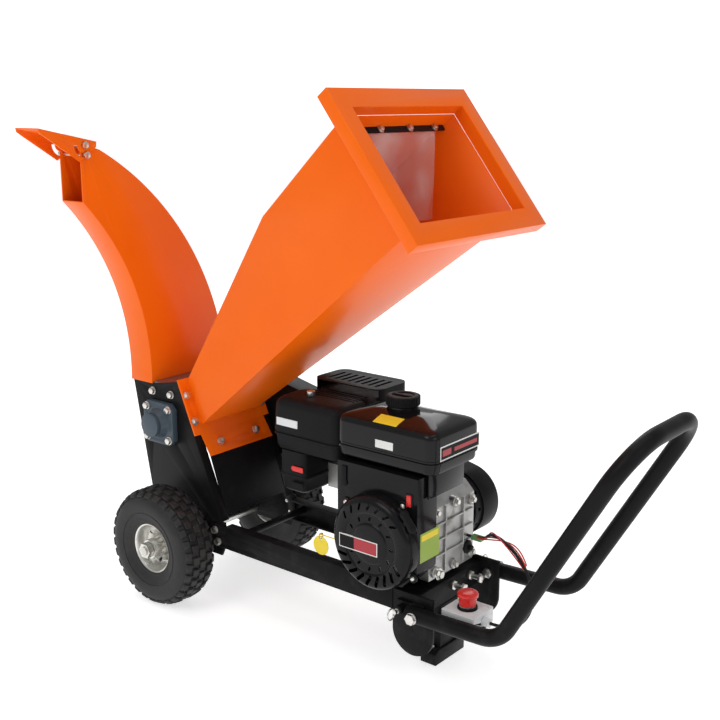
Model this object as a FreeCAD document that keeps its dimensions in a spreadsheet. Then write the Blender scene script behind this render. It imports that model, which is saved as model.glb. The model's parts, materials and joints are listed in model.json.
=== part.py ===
import FreeCAD, Part
import math
import os
import re
import Sketcher

# Towed wood chipper with a petrol engine, in millimetres.
# Own frame: +X towards the tow handle (front), +Y to the machine's left, +Z up.
# Origin: centre of the sole of the front foot, on the ground and on the centre line.

V = FreeCAD.Vector
doc = FreeCAD.newDocument("WoodChipper")

# ---------------------------------------------------------------- driving sizes
SIZES = dict(
    # stance
    wheelbase=625, track_half=183,
    # wheels and axle
    tyre_radius=131, tyre_width=92, tyre_shoulder=26, bead_radius=52, rim_flange_radius=59,
    rim_wall=3, rim_gap=0.3, rim_width=60, hub_radius=21, hub_len=78, bearing_fit=0.05, axle_radius=10,
    axle_stub=3, spacer_radius=16, wheel_nut_across=30, wheel_nut_height=13, wheel_gap=1.0,
    # frame
    rail_face=119, rail_web=4, rail_height=50, rail_base=133, rail_flange=25, rail_tab=85,
    rail_front=-37, cross_long=50, cross_low=121, cross_high=46, plate_wall=5,
    deck_wall=7, deck_level=164, deck_back=-190, deck_front=-46, tie_forward=150, tie_radius=8,
    # front foot
    foot_long=37, foot_wide=100, foot_high=30, foot_chamfer=8, leg_long=30, leg_wide=60, leg_wall=3,
    # rotor housing
    side_face=115, shaft_back=-62, shaft_level=385, chamber_radius=70, casing_wall=3,
    top_back=-155, top_level=468, front_top=-12, front_level=490, front_run=130, front_fall=300,
    waist_back=-109, waist_level=230, heel_back=-80, heel_level=112, toe_front=127, toe_level=138,
    fold_low=190, front_flange=22, shaft_opening=24, panel_low=200, bed_level=350,
    # rotor
    shaft_radius=12.5, shaft_right=150, shaft_left=180, drum_radius=54, drum_half=104,
    knife_long=34, knife_thick=8, knife_reach=12, bed_long=34, bed_thick=8, bed_gap=5,
    # flanged bearing units
    unit_half=47.5, unit_corner=12, unit_thick=14, unit_hub=34, unit_hub_out=16,
    unit_bolt_half=35, cap_radius=27, cap_thick=10,
    # belt drive
    pulley_radius=52, pulley_wide=30, pulley_y=148, groove_depth=10, groove_wide=10, groove_edge=4,
    belt_pitch=12, belt_wide=8.8, belt_tall=8, belt_clear=0.4,
    guard_in=131, guard_out=186, guard_wall=2.5, guard_rear=92, guard_round=72, guard_hole=24,
    post_radius=6, clutch_radius=68, clutch_wall=3,
    # chute and hood
    chute_x_back=-163, chute_thick=70, chute_wall=3, chute_outer_round=656, chute_inner_round=552,
    chute_crown_y=-225, chute_crown_level=985, chute_mouth_y=-273, chute_mouth_high=1001,
    chute_mouth_low=880, hood_wall=3, hood_gap=0.5, hood_tip_out=99, hood_tip_rise=35, hood_back=38,
    hood_pivot_y=-266, hood_pivot_level=996, hood_slot_round=20,
    # hopper
    hopper_wall=3, hopper_base_half=90, hopper_mouth_half=170, hopper_mouth_tall=240,
    hopper_angle=37.8, hopper_run=746, mouth_x=585.5, mouth_level=962.6, bend_x=282, bend_level=866,
    duct_high=484, duct_low=391, hopper_flange_wall=4, lip_high=371, lip_tall=44, lip_half=97,
    lip_turn=10, rim_border=41, rim_depth=26, rim_sheet=3,
    # feed curtain
    bar_half=160, bar_tall=11, bar_thick=5, bar_in=28, curtain_up=8, curtain_back=0.4,
    curtain_half=138, curtain_tall=178, curtain_thick=3,
    # engine: levels from the ground, the rest from the crankshaft
    crank_x=-65, crank_level=270, crank_radius=9.5, crank_end=180, flywheel_right=-116,
    flywheel_thick=38, fan_radius=78, case_back=-85, case_front=72, case_right=-62, case_left=92,
    case_top=345, case_wall=7, case_clear=0.3, case_boss=42, bell_y=106, side_cover=7,
    foot_flange=18, foot_flange_wall=10,
    barrel_back=-150, barrel_y=15, barrel_half=44, barrel_low=262, barrel_high=372, fin_pitch=10,
    fin_wall=3, fin_reach=9, fin_count=7, head_long=34,
    shroud_right=-124, shroud_wall=3, shroud_back=-104, shroud_front=88, shroud_top=408,
    shroud_low=186, intake_radius=70, recoil_radius=94, recoil_wall=2.5, recoil_face=-158,
    recoil_round=16, grip_angle=37, grip_reach=96, grip_long=46, grip_thick=15, grip_deep=18,
    grip_right=-154, switch_x=62, switch_low=350, switch_wide=16, switch_tall=28, switch_out=1.5,
    switch_rim=2.5, switch_clear=0.5, rocker_half=3,
    # fuel tank
    tank_back=-116, tank_front=118, tank_right=-118, tank_left=40, tank_low=414, tank_side=58,
    tank_dome=42, tank_wall=3, tank_round=22, tank_inset=34, neck_radius=24, neck_high=12,
    cap_over=33, cap_high=20, cap_gap=1.0, cap_forward=-14, cap_side=-34,
    # air cleaner, carburettor and levers
    cleaner_back=-302, cleaner_front=-118, cleaner_right=-104, cleaner_left=8, cleaner_top=498,
    cleaner_low=388, cleaner_round=22, elbow_low=296, elbow_back=-286, elbow_front=-214,
    elbow_inset=8, elbow_round=12, knob_radius=9, knob_high=12, knob_forward=-232, knob_side=-55,
    carb_right=-24, carb_left=20, carb_low=300, carb_high=352,
    lever_long=26, lever_wide=11, lever_wall=2.5, lever_gap=0.6, lever_pin=3, choke_forward=-244,
    choke_level=352, tap_level=318, throttle_back=-86, throttle_level=366,
    # muffler
    muffler_back=-288, muffler_front=-128, muffler_right=22, muffler_left=118, muffler_low=398,
    muffler_high=494, muffler_wall=3, muffler_round=24, pipe_radius=13, guard_gap=8,
    guard_sheet=2, guard_high=512, guard_slot_pitch=18, guard_slot_wide=8, guard_slots=8,
    # tow handle
    arm_y=135, arm_radius=16, arm_wall=2, pivot_x=32, pivot_level=146, bend_forward=211,
    bend_level_low=152, bend_round=62, grip_forward_x=443, grip_level=557, grip_round=88,
    arm_tail=20, bracket_back=-37, bracket_front=57, bracket_low=50, bracket_high=176,
    bracket_wall=6, bracket_face=118, lug_wall=6, lug_back=54, lug_half=14, lug_gap=0.5,
    pivot_radius=6, pivot_across=19, pivot_gap=0.3,
    pin_back=40, pin_radius=5, pin_housing=9, pin_housing_long=16, pin_tip_gap=0.4,
    pin_out=3, pull_ring_radius=11, pull_ring_wire=1.5, pin_shaft_radius=4, pin_shaft_long=8,
    # emergency stop
    stop_back=74, stop_front=146, stop_right=-117, stop_wide=70, stop_low=140, stop_high=16,
    stop_lid=10, stop_round=4, button_radius=20, button_high=20, button_gap=9, collar_radius=15,
    collar_high=5, stem_radius=6, stem_clear=0.1, stem_foot=5, stop_plate=3,
    gland_side=-82, gland_level=150, gland_across=17, gland_long=14, lid_screw_in=7,
    # fasteners
    bolt_across=13, small_across=10, bolt_head=6, bolt_radius=4, washer_radius=9,
    washer_thick=1.5, bolt_clear=0.4, screw_radius=3.5, screw_head=1.0,
    tension_radius=5, tension_out=24, tension_level=150, tension_first=12, tension_pitch=60,
    tension_across=17, foot_bolt_out=8, lip_bolt_out=55, flange_bolt_high=455, flange_bolt_low=400,
    # cable and hang tag
    cable_radius=3, bend_share=0.45,
    tag_x=-222, tag_y=-114, tag_level=212, tag_radius=20, tag_wall=1.2, tag_eye=3, tag_eye_in=6,
    tag_ring=6, tag_wire=1.2, tag_slack=0.1, tag_hook_over=5,
    # how far a cutting piece goes past what it cuts
    cut_over=1,
)

# values that follow from the driving sizes; written here once as formulas
DERIVED = dict(
    axle_x="-wheelbase",
    axle_level="tyre_radius",
    rail_top="rail_base + rail_height",
    shaft_x="axle_x + shaft_back",
    side_in="side_face - plate_wall",
    front_x="axle_x + front_top",
    front_lean="atan(front_run / front_fall) / 1 deg",
    chute_x="axle_x + chute_x_back",
    hub_in="track_half - hub_len / 2",
    rim_half="hopper_mouth_half + rim_border",
    rim_tall="hopper_mouth_tall + 2 * rim_border",
    bracket_in="bracket_face - bracket_wall",
    stop_top="stop_low + stop_high + stop_lid",
    stop_x="(stop_back + stop_front) / 2",
    stop_y="stop_right + stop_wide / 2",
    belt_span="sqrt((crank_x - shaft_x)^2 + (shaft_level - crank_level)^2)",
    belt_fall="atan((shaft_level - crank_level) / (crank_x - shaft_x)) / 1 deg",
    guard_spread="asin((guard_rear - guard_round) / belt_span) / 1 deg",
    grip_forward="cos(grip_angle) * grip_reach + sin(grip_angle) * grip_long / 2",
    grip_rise="sin(grip_angle) * grip_reach - cos(grip_angle) * grip_long / 2",
)

sheet = doc.addObject("Spreadsheet::Sheet", "Sizes")
for row, (name, value) in enumerate(SIZES.items(), start=1):
    sheet.set("A%d" % row, name)
    sheet.set("B%d" % row, str(value))
    sheet.setAlias("B%d" % row, name)
doc.recompute()

NODES = {}
PLANE = {"XZ": "XZ_Plane", "XY": "XY_Plane", "YZ": "YZ_Plane"}
AXIS_TURN = {
    "X": FreeCAD.Rotation(V(0, 1, 0), 90),
    "Y": FreeCAD.Rotation(V(1, 0, 0), -90),
    "Z": FreeCAD.Rotation(),
}


# ---------------------------------------------------------------- small helpers
def expand(text):
    """Put the sheet's name before each size and write derived values out."""
    def swap(match):
        word = match.group(0)
        if word in DERIVED:
            return "(" + expand(DERIVED[word]) + ")"
        return "Sizes." + word if word in SIZES else word
    return re.sub(r"[a-z][a-z0-9_]*", swap, str(text))


def num(text):
    """The number that a formula of the sizes gives."""
    value = sheet.evalExpression(expand(text))
    return float(getattr(value, "Value", value))


def bind(obj, prop, text):
    obj.setExpression(prop, expand(text))


def put(obj, x=0, y=0, z=0):
    for axis, text in zip("xyz", (x, y, z)):
        bind(obj, "Placement.Base." + axis, text)
    return obj


def box(name, x, y, z, dx, dy, dz):
    obj = doc.addObject("Part::Box", name)
    for prop, text in (("Length", dx), ("Width", dy), ("Height", dz)):
        bind(obj, prop, text)
    return put(obj, x, y, z)


def rod(name, axis, x, y, z, radius, length):
    """A cylinder from a start point along +X, +Y or +Z."""
    obj = doc.addObject("Part::Cylinder", name)
    obj.Placement = FreeCAD.Placement(V(), AXIS_TURN[axis])
    bind(obj, "Radius", radius)
    bind(obj, "Height", length)
    return put(obj, x, y, z)


def taper(name, axis, x, y, z, radius, end_radius, length):
    obj = doc.addObject("Part::Cone", name)
    obj.Placement = FreeCAD.Placement(V(), AXIS_TURN[axis])
    bind(obj, "Radius1", radius)
    bind(obj, "Radius2", end_radius)
    bind(obj, "Height", length)
    return put(obj, x, y, z)


def hexagon(name, axis, x, y, z, across, height):
    obj = doc.addObject("Part::Prism", name)
    obj.Placement = FreeCAD.Placement(V(), AXIS_TURN[axis])
    obj.Polygon = 6
    bind(obj, "Circumradius", "(%s) / sqrt(3)" % across)
    bind(obj, "Height", height)
    return put(obj, x, y, z)


def torus(name, axis, x, y, z, radius, wire):
    obj = doc.addObject("Part::Torus", name)
    obj.Placement = FreeCAD.Placement(V(), AXIS_TURN[axis])
    bind(obj, "Radius1", radius)
    bind(obj, "Radius2", wire)
    return put(obj, x, y, z)


def sketch_on(body, plane, outline, holes=()):
    """A closed outline, each corner held by its own two measured distances.

    A corner may carry a radius and a turn (1 or -1): the edge that leaves it is then an arc."""
    sketch = body.newObject("Sketcher::SketchObject", body.Name + "Sketch")
    origin = [f for f in body.Origin.OriginFeatures if f.Role == PLANE[plane]][0]
    sketch.AttachmentSupport = [(origin, "")]
    sketch.MapMode = "FlatFace"

    def hold(index, text):
        sketch.setExpression("Constraints[%d]" % index, expand(text))
    corners = [V(num(item[0]), num(item[1]), 0) for item in outline]
    count = len(corners)
    first, last = [], []
    for i, item in enumerate(outline):
        start, end = corners[i], corners[(i + 1) % count]
        turn = item[3] if len(item) > 2 else 0
        if turn:
            radius = num(item[2])
            chord = end - start
            rise = math.sqrt(radius ** 2 - (chord.Length / 2) ** 2)
            centre = (start + end) * 0.5 + V(-chord.y, chord.x, 0).normalize() * rise * turn
            a, b = (start, end) if turn > 0 else (end, start)
            angles = [math.atan2(p.y - centre.y, p.x - centre.x) for p in (a, b)]
            circle = Part.Circle(centre, V(0, 0, 1), radius)
            sketch.addGeometry(Part.ArcOfCircle(circle, angles[0], angles[1]), False)
        else:
            sketch.addGeometry(Part.LineSegment(start, end), False)
        first.append(2 if turn < 0 else 1)
        last.append(1 if turn < 0 else 2)
    for i in range(count):
        following = (i + 1) % count
        sketch.addConstraint(Sketcher.Constraint("Coincident", i, last[i], following, first[following]))
    for i, item in enumerate(outline):
        for kind, text in (("DistanceX", item[0]), ("DistanceY", item[1])):
            hold(sketch.addConstraint(Sketcher.Constraint(kind, -1, 1, i, first[i], num(text))), text)
        if len(item) > 2:
            hold(sketch.addConstraint(Sketcher.Constraint("Radius", i, num(item[2]))), item[2])
    for a, b, radius in holes:
        circle = sketch.addGeometry(Part.Circle(V(num(a), num(b), 0), V(0, 0, 1), num(radius)), False)
        for kind, text in (("DistanceX", a), ("DistanceY", b)):
            hold(sketch.addConstraint(Sketcher.Constraint(kind, -1, 1, circle, 3, num(text))), text)
        hold(sketch.addConstraint(Sketcher.Constraint("Radius", circle, num(radius))), radius)
    return sketch


def prism(name, plane, outline, length, at=(0, 0, 0), holes=(), round_edges=None):
    """An outline padded along its plane's own normal: XY up, YZ forward, XZ to the right (-Y)."""
    body = doc.addObject("PartDesign::Body", name)
    sketch = sketch_on(body, plane, outline, holes)
    pad = body.newObject("PartDesign::Pad", name + "Pad")
    pad.Profile = sketch
    bind(pad, "Length", length)
    body.Tip = pad
    if round_edges:
        doc.recompute()
        pick, radius = round_edges
        fillet = body.newObject("PartDesign::Fillet", name + "Fillet")
        names = ["Edge%d" % (i + 1) for i, edge in enumerate(pad.Shape.Edges) if pick(edge)]
        fillet.Base = (pad, names)
        bind(fillet, "Radius", radius)
        body.Tip = fillet
    return put(body, *at)


def revolve(name, outline, at=(0, 0, 0)):
    """An outline in (radius, along Y) turned about the Y axis through its own origin."""
    body = doc.addObject("PartDesign::Body", name)
    sketch = sketch_on(body, "XY", outline)
    turn = body.newObject("PartDesign::Revolution", name + "Turn")
    turn.Profile = sketch
    turn.ReferenceAxis = (sketch, ["V_Axis"])
    turn.Angle = 360
    body.Tip = turn
    return put(body, *at)


def turned(obj, axis, angle):
    """Turn an object about its own origin and an axis, by a formula in degrees."""
    obj.Placement = FreeCAD.Placement(obj.Placement.Base, FreeCAD.Rotation(axis, num(angle)))
    bind(obj, "Placement.Rotation.Angle", angle)
    return obj


def nose_up(obj, angle):
    """Turn an object so that its own X axis rises by the angle."""
    return turned(obj, V(0, -1, 0), angle)


def nose_down(obj, angle):
    return turned(obj, V(0, 1, 0), angle)


def many(kind, name, parts):
    parts = list(parts)
    if len(parts) == 1:
        return parts[0]
    obj = doc.addObject(kind, name)
    if kind == "Part::Compound":
        obj.Links = parts
    else:
        obj.Shapes = parts
    return obj


def fuse(name, *parts):
    return many("Part::MultiFuse", name, parts)


def group(name, *parts):
    return many("Part::Compound", name, parts)


def cut(name, base, *tools):
    obj = doc.addObject("Part::Cut", name)
    obj.Base = base
    obj.Tool = group(name + "Tools", *tools) if len(tools) == 1 else fuse(name + "Tools", *tools)
    return obj


def common(name, *parts):
    obj = doc.addObject("Part::MultiCommon", name)
    obj.Shapes = list(parts)
    return obj


def mirrored(name, source):
    """The same piece on the other side of the centre line."""
    obj = doc.addObject("Part::Mirroring", name)
    obj.Source = source
    obj.Normal = V(0, 1, 0)
    return obj


def node(label, obj):
    obj.Label = label
    NODES[label] = obj
    return obj


def upright(edge):
    """True for an edge that runs along the pad's own direction in Z."""
    ends = [vertex.Point for vertex in edge.Vertexes]
    return len(ends) == 2 and abs((ends[0] - ends[1]).normalize().z) > 0.99


def bolts(name, axis, places, grip, across="bolt_across", radius="bolt_radius", flip=False):
    """Hex bolts whose washer faces lie at the places; the shanks run along the axis by the grip."""
    made = []
    for i, (x, y, z) in enumerate(places):
        key = "%s%d" % (name, i)
        sign = "-1" if flip else "1"
        spot = {"X": x, "Y": y, "Z": z}

        def at(offset):
            moved = dict(spot)
            moved[axis] = "(%s) + %s * (%s)" % (spot[axis], sign, offset)
            return moved["X"], moved["Y"], moved["Z"]
        head = hexagon(key + "Head", axis, *at("-washer_thick - bolt_head" if not flip else "-washer_thick"),
                       across, "bolt_head")
        washer = rod(key + "Washer", axis, *at("-washer_thick" if not flip else "0"),
                     "washer_radius", "washer_thick")
        shank = rod(key + "Shank", axis, *at("0" if not flip else grip), radius, grip)
        made.append(fuse(key, head, washer, shank))
    return made


def holes(name, axis, places, length, radius="bolt_radius + bolt_clear", back="1"):
    """Clearance holes for the same places; each starts a little before the face."""
    made = []
    for i, place in enumerate(places):
        spot = dict(zip("XYZ", place))
        spot[axis] = "(%s) - (%s)" % (spot[axis], back)
        made.append(rod("%s%d" % (name, i), axis, spot["X"], spot["Y"], spot["Z"], radius,
                        "(%s) + 2 * (%s)" % (length, back)))
    return made


def front_at(level):
    """How far forward the leaning front of the housing is at a level."""
    return "front_x + (front_level - (%s)) * front_run / front_fall" % level


def leaning(name, high, low, back, front, half_width):
    """A plate parallel to the leaning front, between two levels and two forward distances."""
    outline = [(front_at(high) + " + " + back, high), (front_at(high) + " + " + front, high),
               (front_at(low) + " + " + front, low), (front_at(low) + " + " + back, low)]
    return prism(name, "XZ", outline, "2 * (%s)" % half_width, (0, half_width, 0))


def square_to(obj, lean):
    """Turn an upright piece so that it stands square to a plate that leans back by the angle."""
    return turned(obj, V(0, 1, 0), "90 - (%s)" % lean)


def off_plate(place, lean, offset):
    x, y, z = place
    return "%s + (%s) * cos(%s)" % (x, offset, lean), y, "%s + (%s) * sin(%s)" % (z, offset, lean)


def leaning_holes(name, lean, places):
    deep = "hopper_flange_wall + plate_wall + cut_over"
    return [square_to(rod("%s%d" % (name, i), "Z", *off_plate(place, lean, "-(%s)" % deep),
                          "bolt_radius + bolt_clear", deep + " + cut_over"), lean)
            for i, place in enumerate(places)]


def leaning_bolts(name, lean, places):
    """Bolts square to a leaning plate, screwed into the plate behind; the places are on its front."""
    grip = "(hopper_flange_wall + plate_wall) * cos(%s)" % lean
    made = []
    for i, place in enumerate(places):
        key = "%s%d" % (name, i)
        head = hexagon(key + "Head", "Z", *off_plate(place, lean, "washer_thick"), "bolt_across",
                       "bolt_head")
        washer = rod(key + "Washer", "Z", *off_plate(place, lean, "0"), "washer_radius", "washer_thick")
        shank = rod(key + "Shank", "Z", *off_plate(place, lean, "-(%s)" % grip), "bolt_radius", grip)
        made.append(fuse(key, *(square_to(piece, lean) for piece in (head, washer, shank))))
    return made


def both_sides(pieces):
    return [twin for piece in pieces for twin in (piece, mirrored(piece.Name + "Other", piece))]


LIP_LEAN = "(front_lean + lip_turn)"
LIP_BOLTS = [("%s + hopper_flange_wall + lip_tall / 2 * tan%s" % (front_at("lip_high"), LIP_LEAN), y,
              "lip_high - lip_tall / 2") for y in ("lip_bolt_out", "-lip_bolt_out")]
FLANGE_BOLTS = [(front_at(level) + " + hopper_flange_wall", y, level)
                for y in ("side_face - front_flange / 2", "-side_face + front_flange / 2")
                for level in ("flange_bolt_high", "flange_bolt_low")]


# ---------------------------------------------------------------- wheels and axle
def wheels():
    """Two pneumatic tyres on pressed rims that run on the axle by their hub tubes."""
    side, crown = "tyre_width / 2", "tyre_radius - tyre_shoulder"
    third = "tyre_shoulder / 3"
    low, out = "rim_flange_radius + rim_gap", "(rim_width / 2 + rim_wall + rim_gap)"
    profile = [("bead_radius", "-rim_width / 2"), (low, "-rim_width / 2"), (low, "-" + out),
               (crown + " - 1.2 * tyre_shoulder", "-" + side),
               (crown, "-" + side), ("tyre_radius - " + third, "-%s + %s" % (side, third)),
               ("tyre_radius", "-%s + tyre_shoulder" % side), ("tyre_radius", side + " - tyre_shoulder"),
               ("tyre_radius - " + third, "%s - %s" % (side, third)), (crown, side),
               (crown + " - 1.2 * tyre_shoulder", side), (low, out), (low, "rim_width / 2"),
               ("bead_radius", "rim_width / 2")]
    tyre = revolve("Tyre", profile, ("axle_x", "track_half", "axle_level"))
    half = "rim_width / 2"
    lip = half + " + rim_wall"
    inner = "bead_radius - rim_wall"
    rim_profile = [
        ("axle_radius + bearing_fit", "-hub_len / 2"), ("hub_radius", "-hub_len / 2"),
        ("hub_radius", "-rim_wall / 2"), (inner, "-rim_wall / 2"),
        (inner, "-(%s)" % lip), ("rim_flange_radius", "-(%s)" % lip),
        ("rim_flange_radius", "-" + half), ("bead_radius", "-" + half),
        ("bead_radius", half), ("rim_flange_radius", half), ("rim_flange_radius", lip), (inner, lip),
        (inner, "rim_wall / 2"), ("hub_radius", "rim_wall / 2"), ("hub_radius", "hub_len / 2"),
        ("axle_radius + bearing_fit", "hub_len / 2")]
    rim = revolve("Rim", rim_profile, ("axle_x", "track_half", "axle_level"))
    node("tyre_left", tyre)
    node("rim_left", rim)
    node("tyre_right", mirrored("TyreOther", tyre))
    node("rim_right", mirrored("RimOther", rim))


def axle():
    """A round bar through both side plates, with spacers inside the wheels and nuts outside."""
    reach = "track_half + hub_len / 2 + wheel_gap + wheel_nut_height + axle_stub"
    bar = rod("AxleBar", "Y", "axle_x", "-(%s)" % reach, "axle_level", "axle_radius", "2 * (%s)" % reach)
    long = "hub_in - side_face - wheel_gap"
    ring = rod("Spacer", "Y", "axle_x", "side_face", "axle_level", "spacer_radius", long)
    start = "track_half + hub_len / 2 + wheel_gap"
    nut = hexagon("WheelNut", "Y", "axle_x", start, "axle_level", "wheel_nut_across", "wheel_nut_height")
    bore = rod("WheelNutBore", "Y", "axle_x", start + " - 1", "axle_level", "axle_radius",
               "wheel_nut_height + 2")
    nut = cut("WheelNutCut", nut, bore)
    shouldered = fuse("AxleShouldered", bar, ring, mirrored("SpacerOther", ring))
    node("axle", group("Axle", shouldered, nut, mirrored("WheelNutOther", nut)))


# ---------------------------------------------------------------- frame
FIXINGS = []
RAIL_BOLTS = [("axle_x + 101", "rail_base + 37"), ("axle_x + 110", "rail_base + 12")]


def frame():
    """Two folded channels, the engine deck between them and the front cross box."""
    inner = "rail_face - rail_web"
    back = "axle_x + rail_tab"
    web = box("RailWeb", back, inner, "rail_base", "rail_front - (%s)" % back, "rail_web", "rail_height")
    start = "axle_x + toe_front + 2"
    flanges = [box("RailFlange" + key, start, "rail_face - rail_flange", level,
                   "rail_front - (%s)" % start, "rail_flange", "rail_web")
               for key, level in (("Top", "rail_top - rail_web"), ("Low", "rail_base"))]
    rail = cut("RailCut", fuse("Rail", web, *flanges),
               *holes("RailHole", "Y", [(x, inner, z) for x, z in RAIL_BOLTS], "rail_web"))
    node("side_rails", group("SideRails", rail, mirrored("RailOther", rail)))
    deck = box("Deck", "deck_back", "-(%s)" % inner, "deck_level - deck_wall", "deck_front - deck_back",
               "2 * (%s)" % inner, "deck_wall")
    low = "rail_base + rail_web"
    beam = box("Beam", "deck_front", "-(%s)" % inner, low, "rail_front - deck_front", "2 * (%s)" % inner,
               "rail_height - 2 * rail_web")
    node("engine_deck", fuse("EngineDeck", deck, beam))
    block = box("CrossBlock", "rail_front", "-bracket_in", "cross_low", "cross_long",
                "2 * bracket_in", "cross_high")
    bore = box("CrossBore", "rail_front + plate_wall", "-bracket_in - 1", "cross_low + plate_wall",
               "cross_long - 2 * plate_wall", "2 * bracket_in + 2", "cross_high - 2 * plate_wall")
    tall = "cross_low - foot_high"
    leg = box("LegBox", "-leg_long / 2", "-leg_wide / 2", "foot_high", "leg_long", "leg_wide", tall)
    room = box("LegRoom", "-leg_long / 2 + leg_wall", "-leg_wide / 2 + leg_wall", "foot_high - cut_over",
               "leg_long - 2 * leg_wall", "leg_wide - 2 * leg_wall", tall + " + cut_over")
    legged = fuse("CrossLegged", cut("CrossTube", block, bore), cut("Leg", leg, room))
    tie = rod("TieBar", "Y", "axle_x + tie_forward", "-(%s)" % inner, "rail_base + rail_height / 2",
              "tie_radius", "2 * (%s)" % inner)
    node("cross_members", group("CrossMembers", legged, tie))


def brackets():
    """Two handle brackets with round lower ends, at the ends of the cross box."""
    middle = "(bracket_back + bracket_front) / 2"
    radius = "(bracket_front - bracket_back) / 2"
    centre = "bracket_low + (%s)" % radius
    upper = box("BracketPlate", "bracket_back", "bracket_in", centre, "bracket_front - bracket_back",
                "bracket_wall", "bracket_high - (%s)" % centre)
    lower = rod("BracketRound", "Y", middle, "bracket_in", centre, radius, "bracket_wall")
    drill = holes("PinHole", "Y", [("pivot_x - pin_back", "bracket_in", "pivot_level")], "bracket_wall",
                  "pin_radius + bolt_clear")
    drill += holes("PivotHole", "Y", [("pivot_x", "bracket_in", "pivot_level")], "bracket_wall",
                   "pivot_radius + bearing_fit")
    plate = cut("Bracket", fuse("BracketShape", upper, lower), *drill)
    node("handle_brackets", group("Brackets", plate, mirrored("BracketOther", plate)))


def front_foot():
    """The wide pad that the leg stands on."""
    wide = "foot_wide / 2"
    outline = [("-" + wide, "0"), (wide, "0"), (wide, "foot_high - foot_chamfer"),
               (wide + " - foot_chamfer", "foot_high"), ("-%s + foot_chamfer" % wide, "foot_high"),
               ("-" + wide, "foot_high - foot_chamfer")]
    node("foot_pad", prism("Pad", "YZ", outline, "foot_long", ("-foot_long / 2", 0, 0)))
    FIXINGS.extend(
        hexagon("FootBolt" + key, "Z", 0, sign + "(leg_wide / 2 + foot_bolt_out)", "foot_high",
                "small_across",
                "bolt_head") for key, sign in (("L", ""), ("R", "-1 * ")))


# ---------------------------------------------------------------- rotor housing
SIDE_BOLTS = [("axle_x - 91", "top_level - 16"), ("axle_x - 31", "top_level - 16")]


def unit_places(y):
    """The four bolts of a square flanged bearing unit."""
    return [("shaft_x + (%s)" % a, y, "shaft_level + (%s)" % b)
            for a in ("unit_bolt_half", "-unit_bolt_half") for b in ("unit_bolt_half", "-unit_bolt_half")]


def housing():
    """Two side plates with folded front edges, the casing round the drum, and the front panel."""
    edge = "front_level - 6"
    outline = [("chute_x + chute_thick + 2", "top_level"), ("axle_x + top_back", "top_level"),
               ("axle_x + waist_back", "waist_level"),
               ("axle_x + heel_back", "heel_level"), ("axle_x + toe_front - 12", "heel_level"),
               ("axle_x + toe_front", "toe_level"), ("axle_x + toe_front", "fold_low"),
               (front_at("fold_low"), "fold_low"), (front_at(edge), edge)]
    plate = prism("SidePlate", "XZ", outline, "plate_wall", (0, "side_face", 0),
                  holes=[("shaft_x", "shaft_level", "shaft_opening"),
                         ("axle_x", "axle_level", "axle_radius")])
    fold_outline = [(front_at(edge), edge), (front_at(edge) + " - plate_wall", edge),
                    (front_at("fold_low") + " - plate_wall", "fold_low"),
                    (front_at("fold_low"), "fold_low")]
    fold = prism("FrontFold", "XZ", fold_outline, "front_flange", (0, "side_face", 0))
    drill = holes("RailPlateHole", "Y", [(x, "side_in", z) for x, z in RAIL_BOLTS], "plate_wall")
    drill += holes("SideHole", "Y", [(x, "side_in", z) for x, z in SIDE_BOLTS], "plate_wall")
    drill += holes("UnitHole", "Y", unit_places("side_in"), "plate_wall")
    drill += leaning_holes("FoldHole", "front_lean", FLANGE_BOLTS[:2])
    side = cut("SideCut", fuse("Side", plate, fold), *drill)
    node("rotor_side_left", side)
    node("rotor_side_right", mirrored("SideOther", side))


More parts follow.
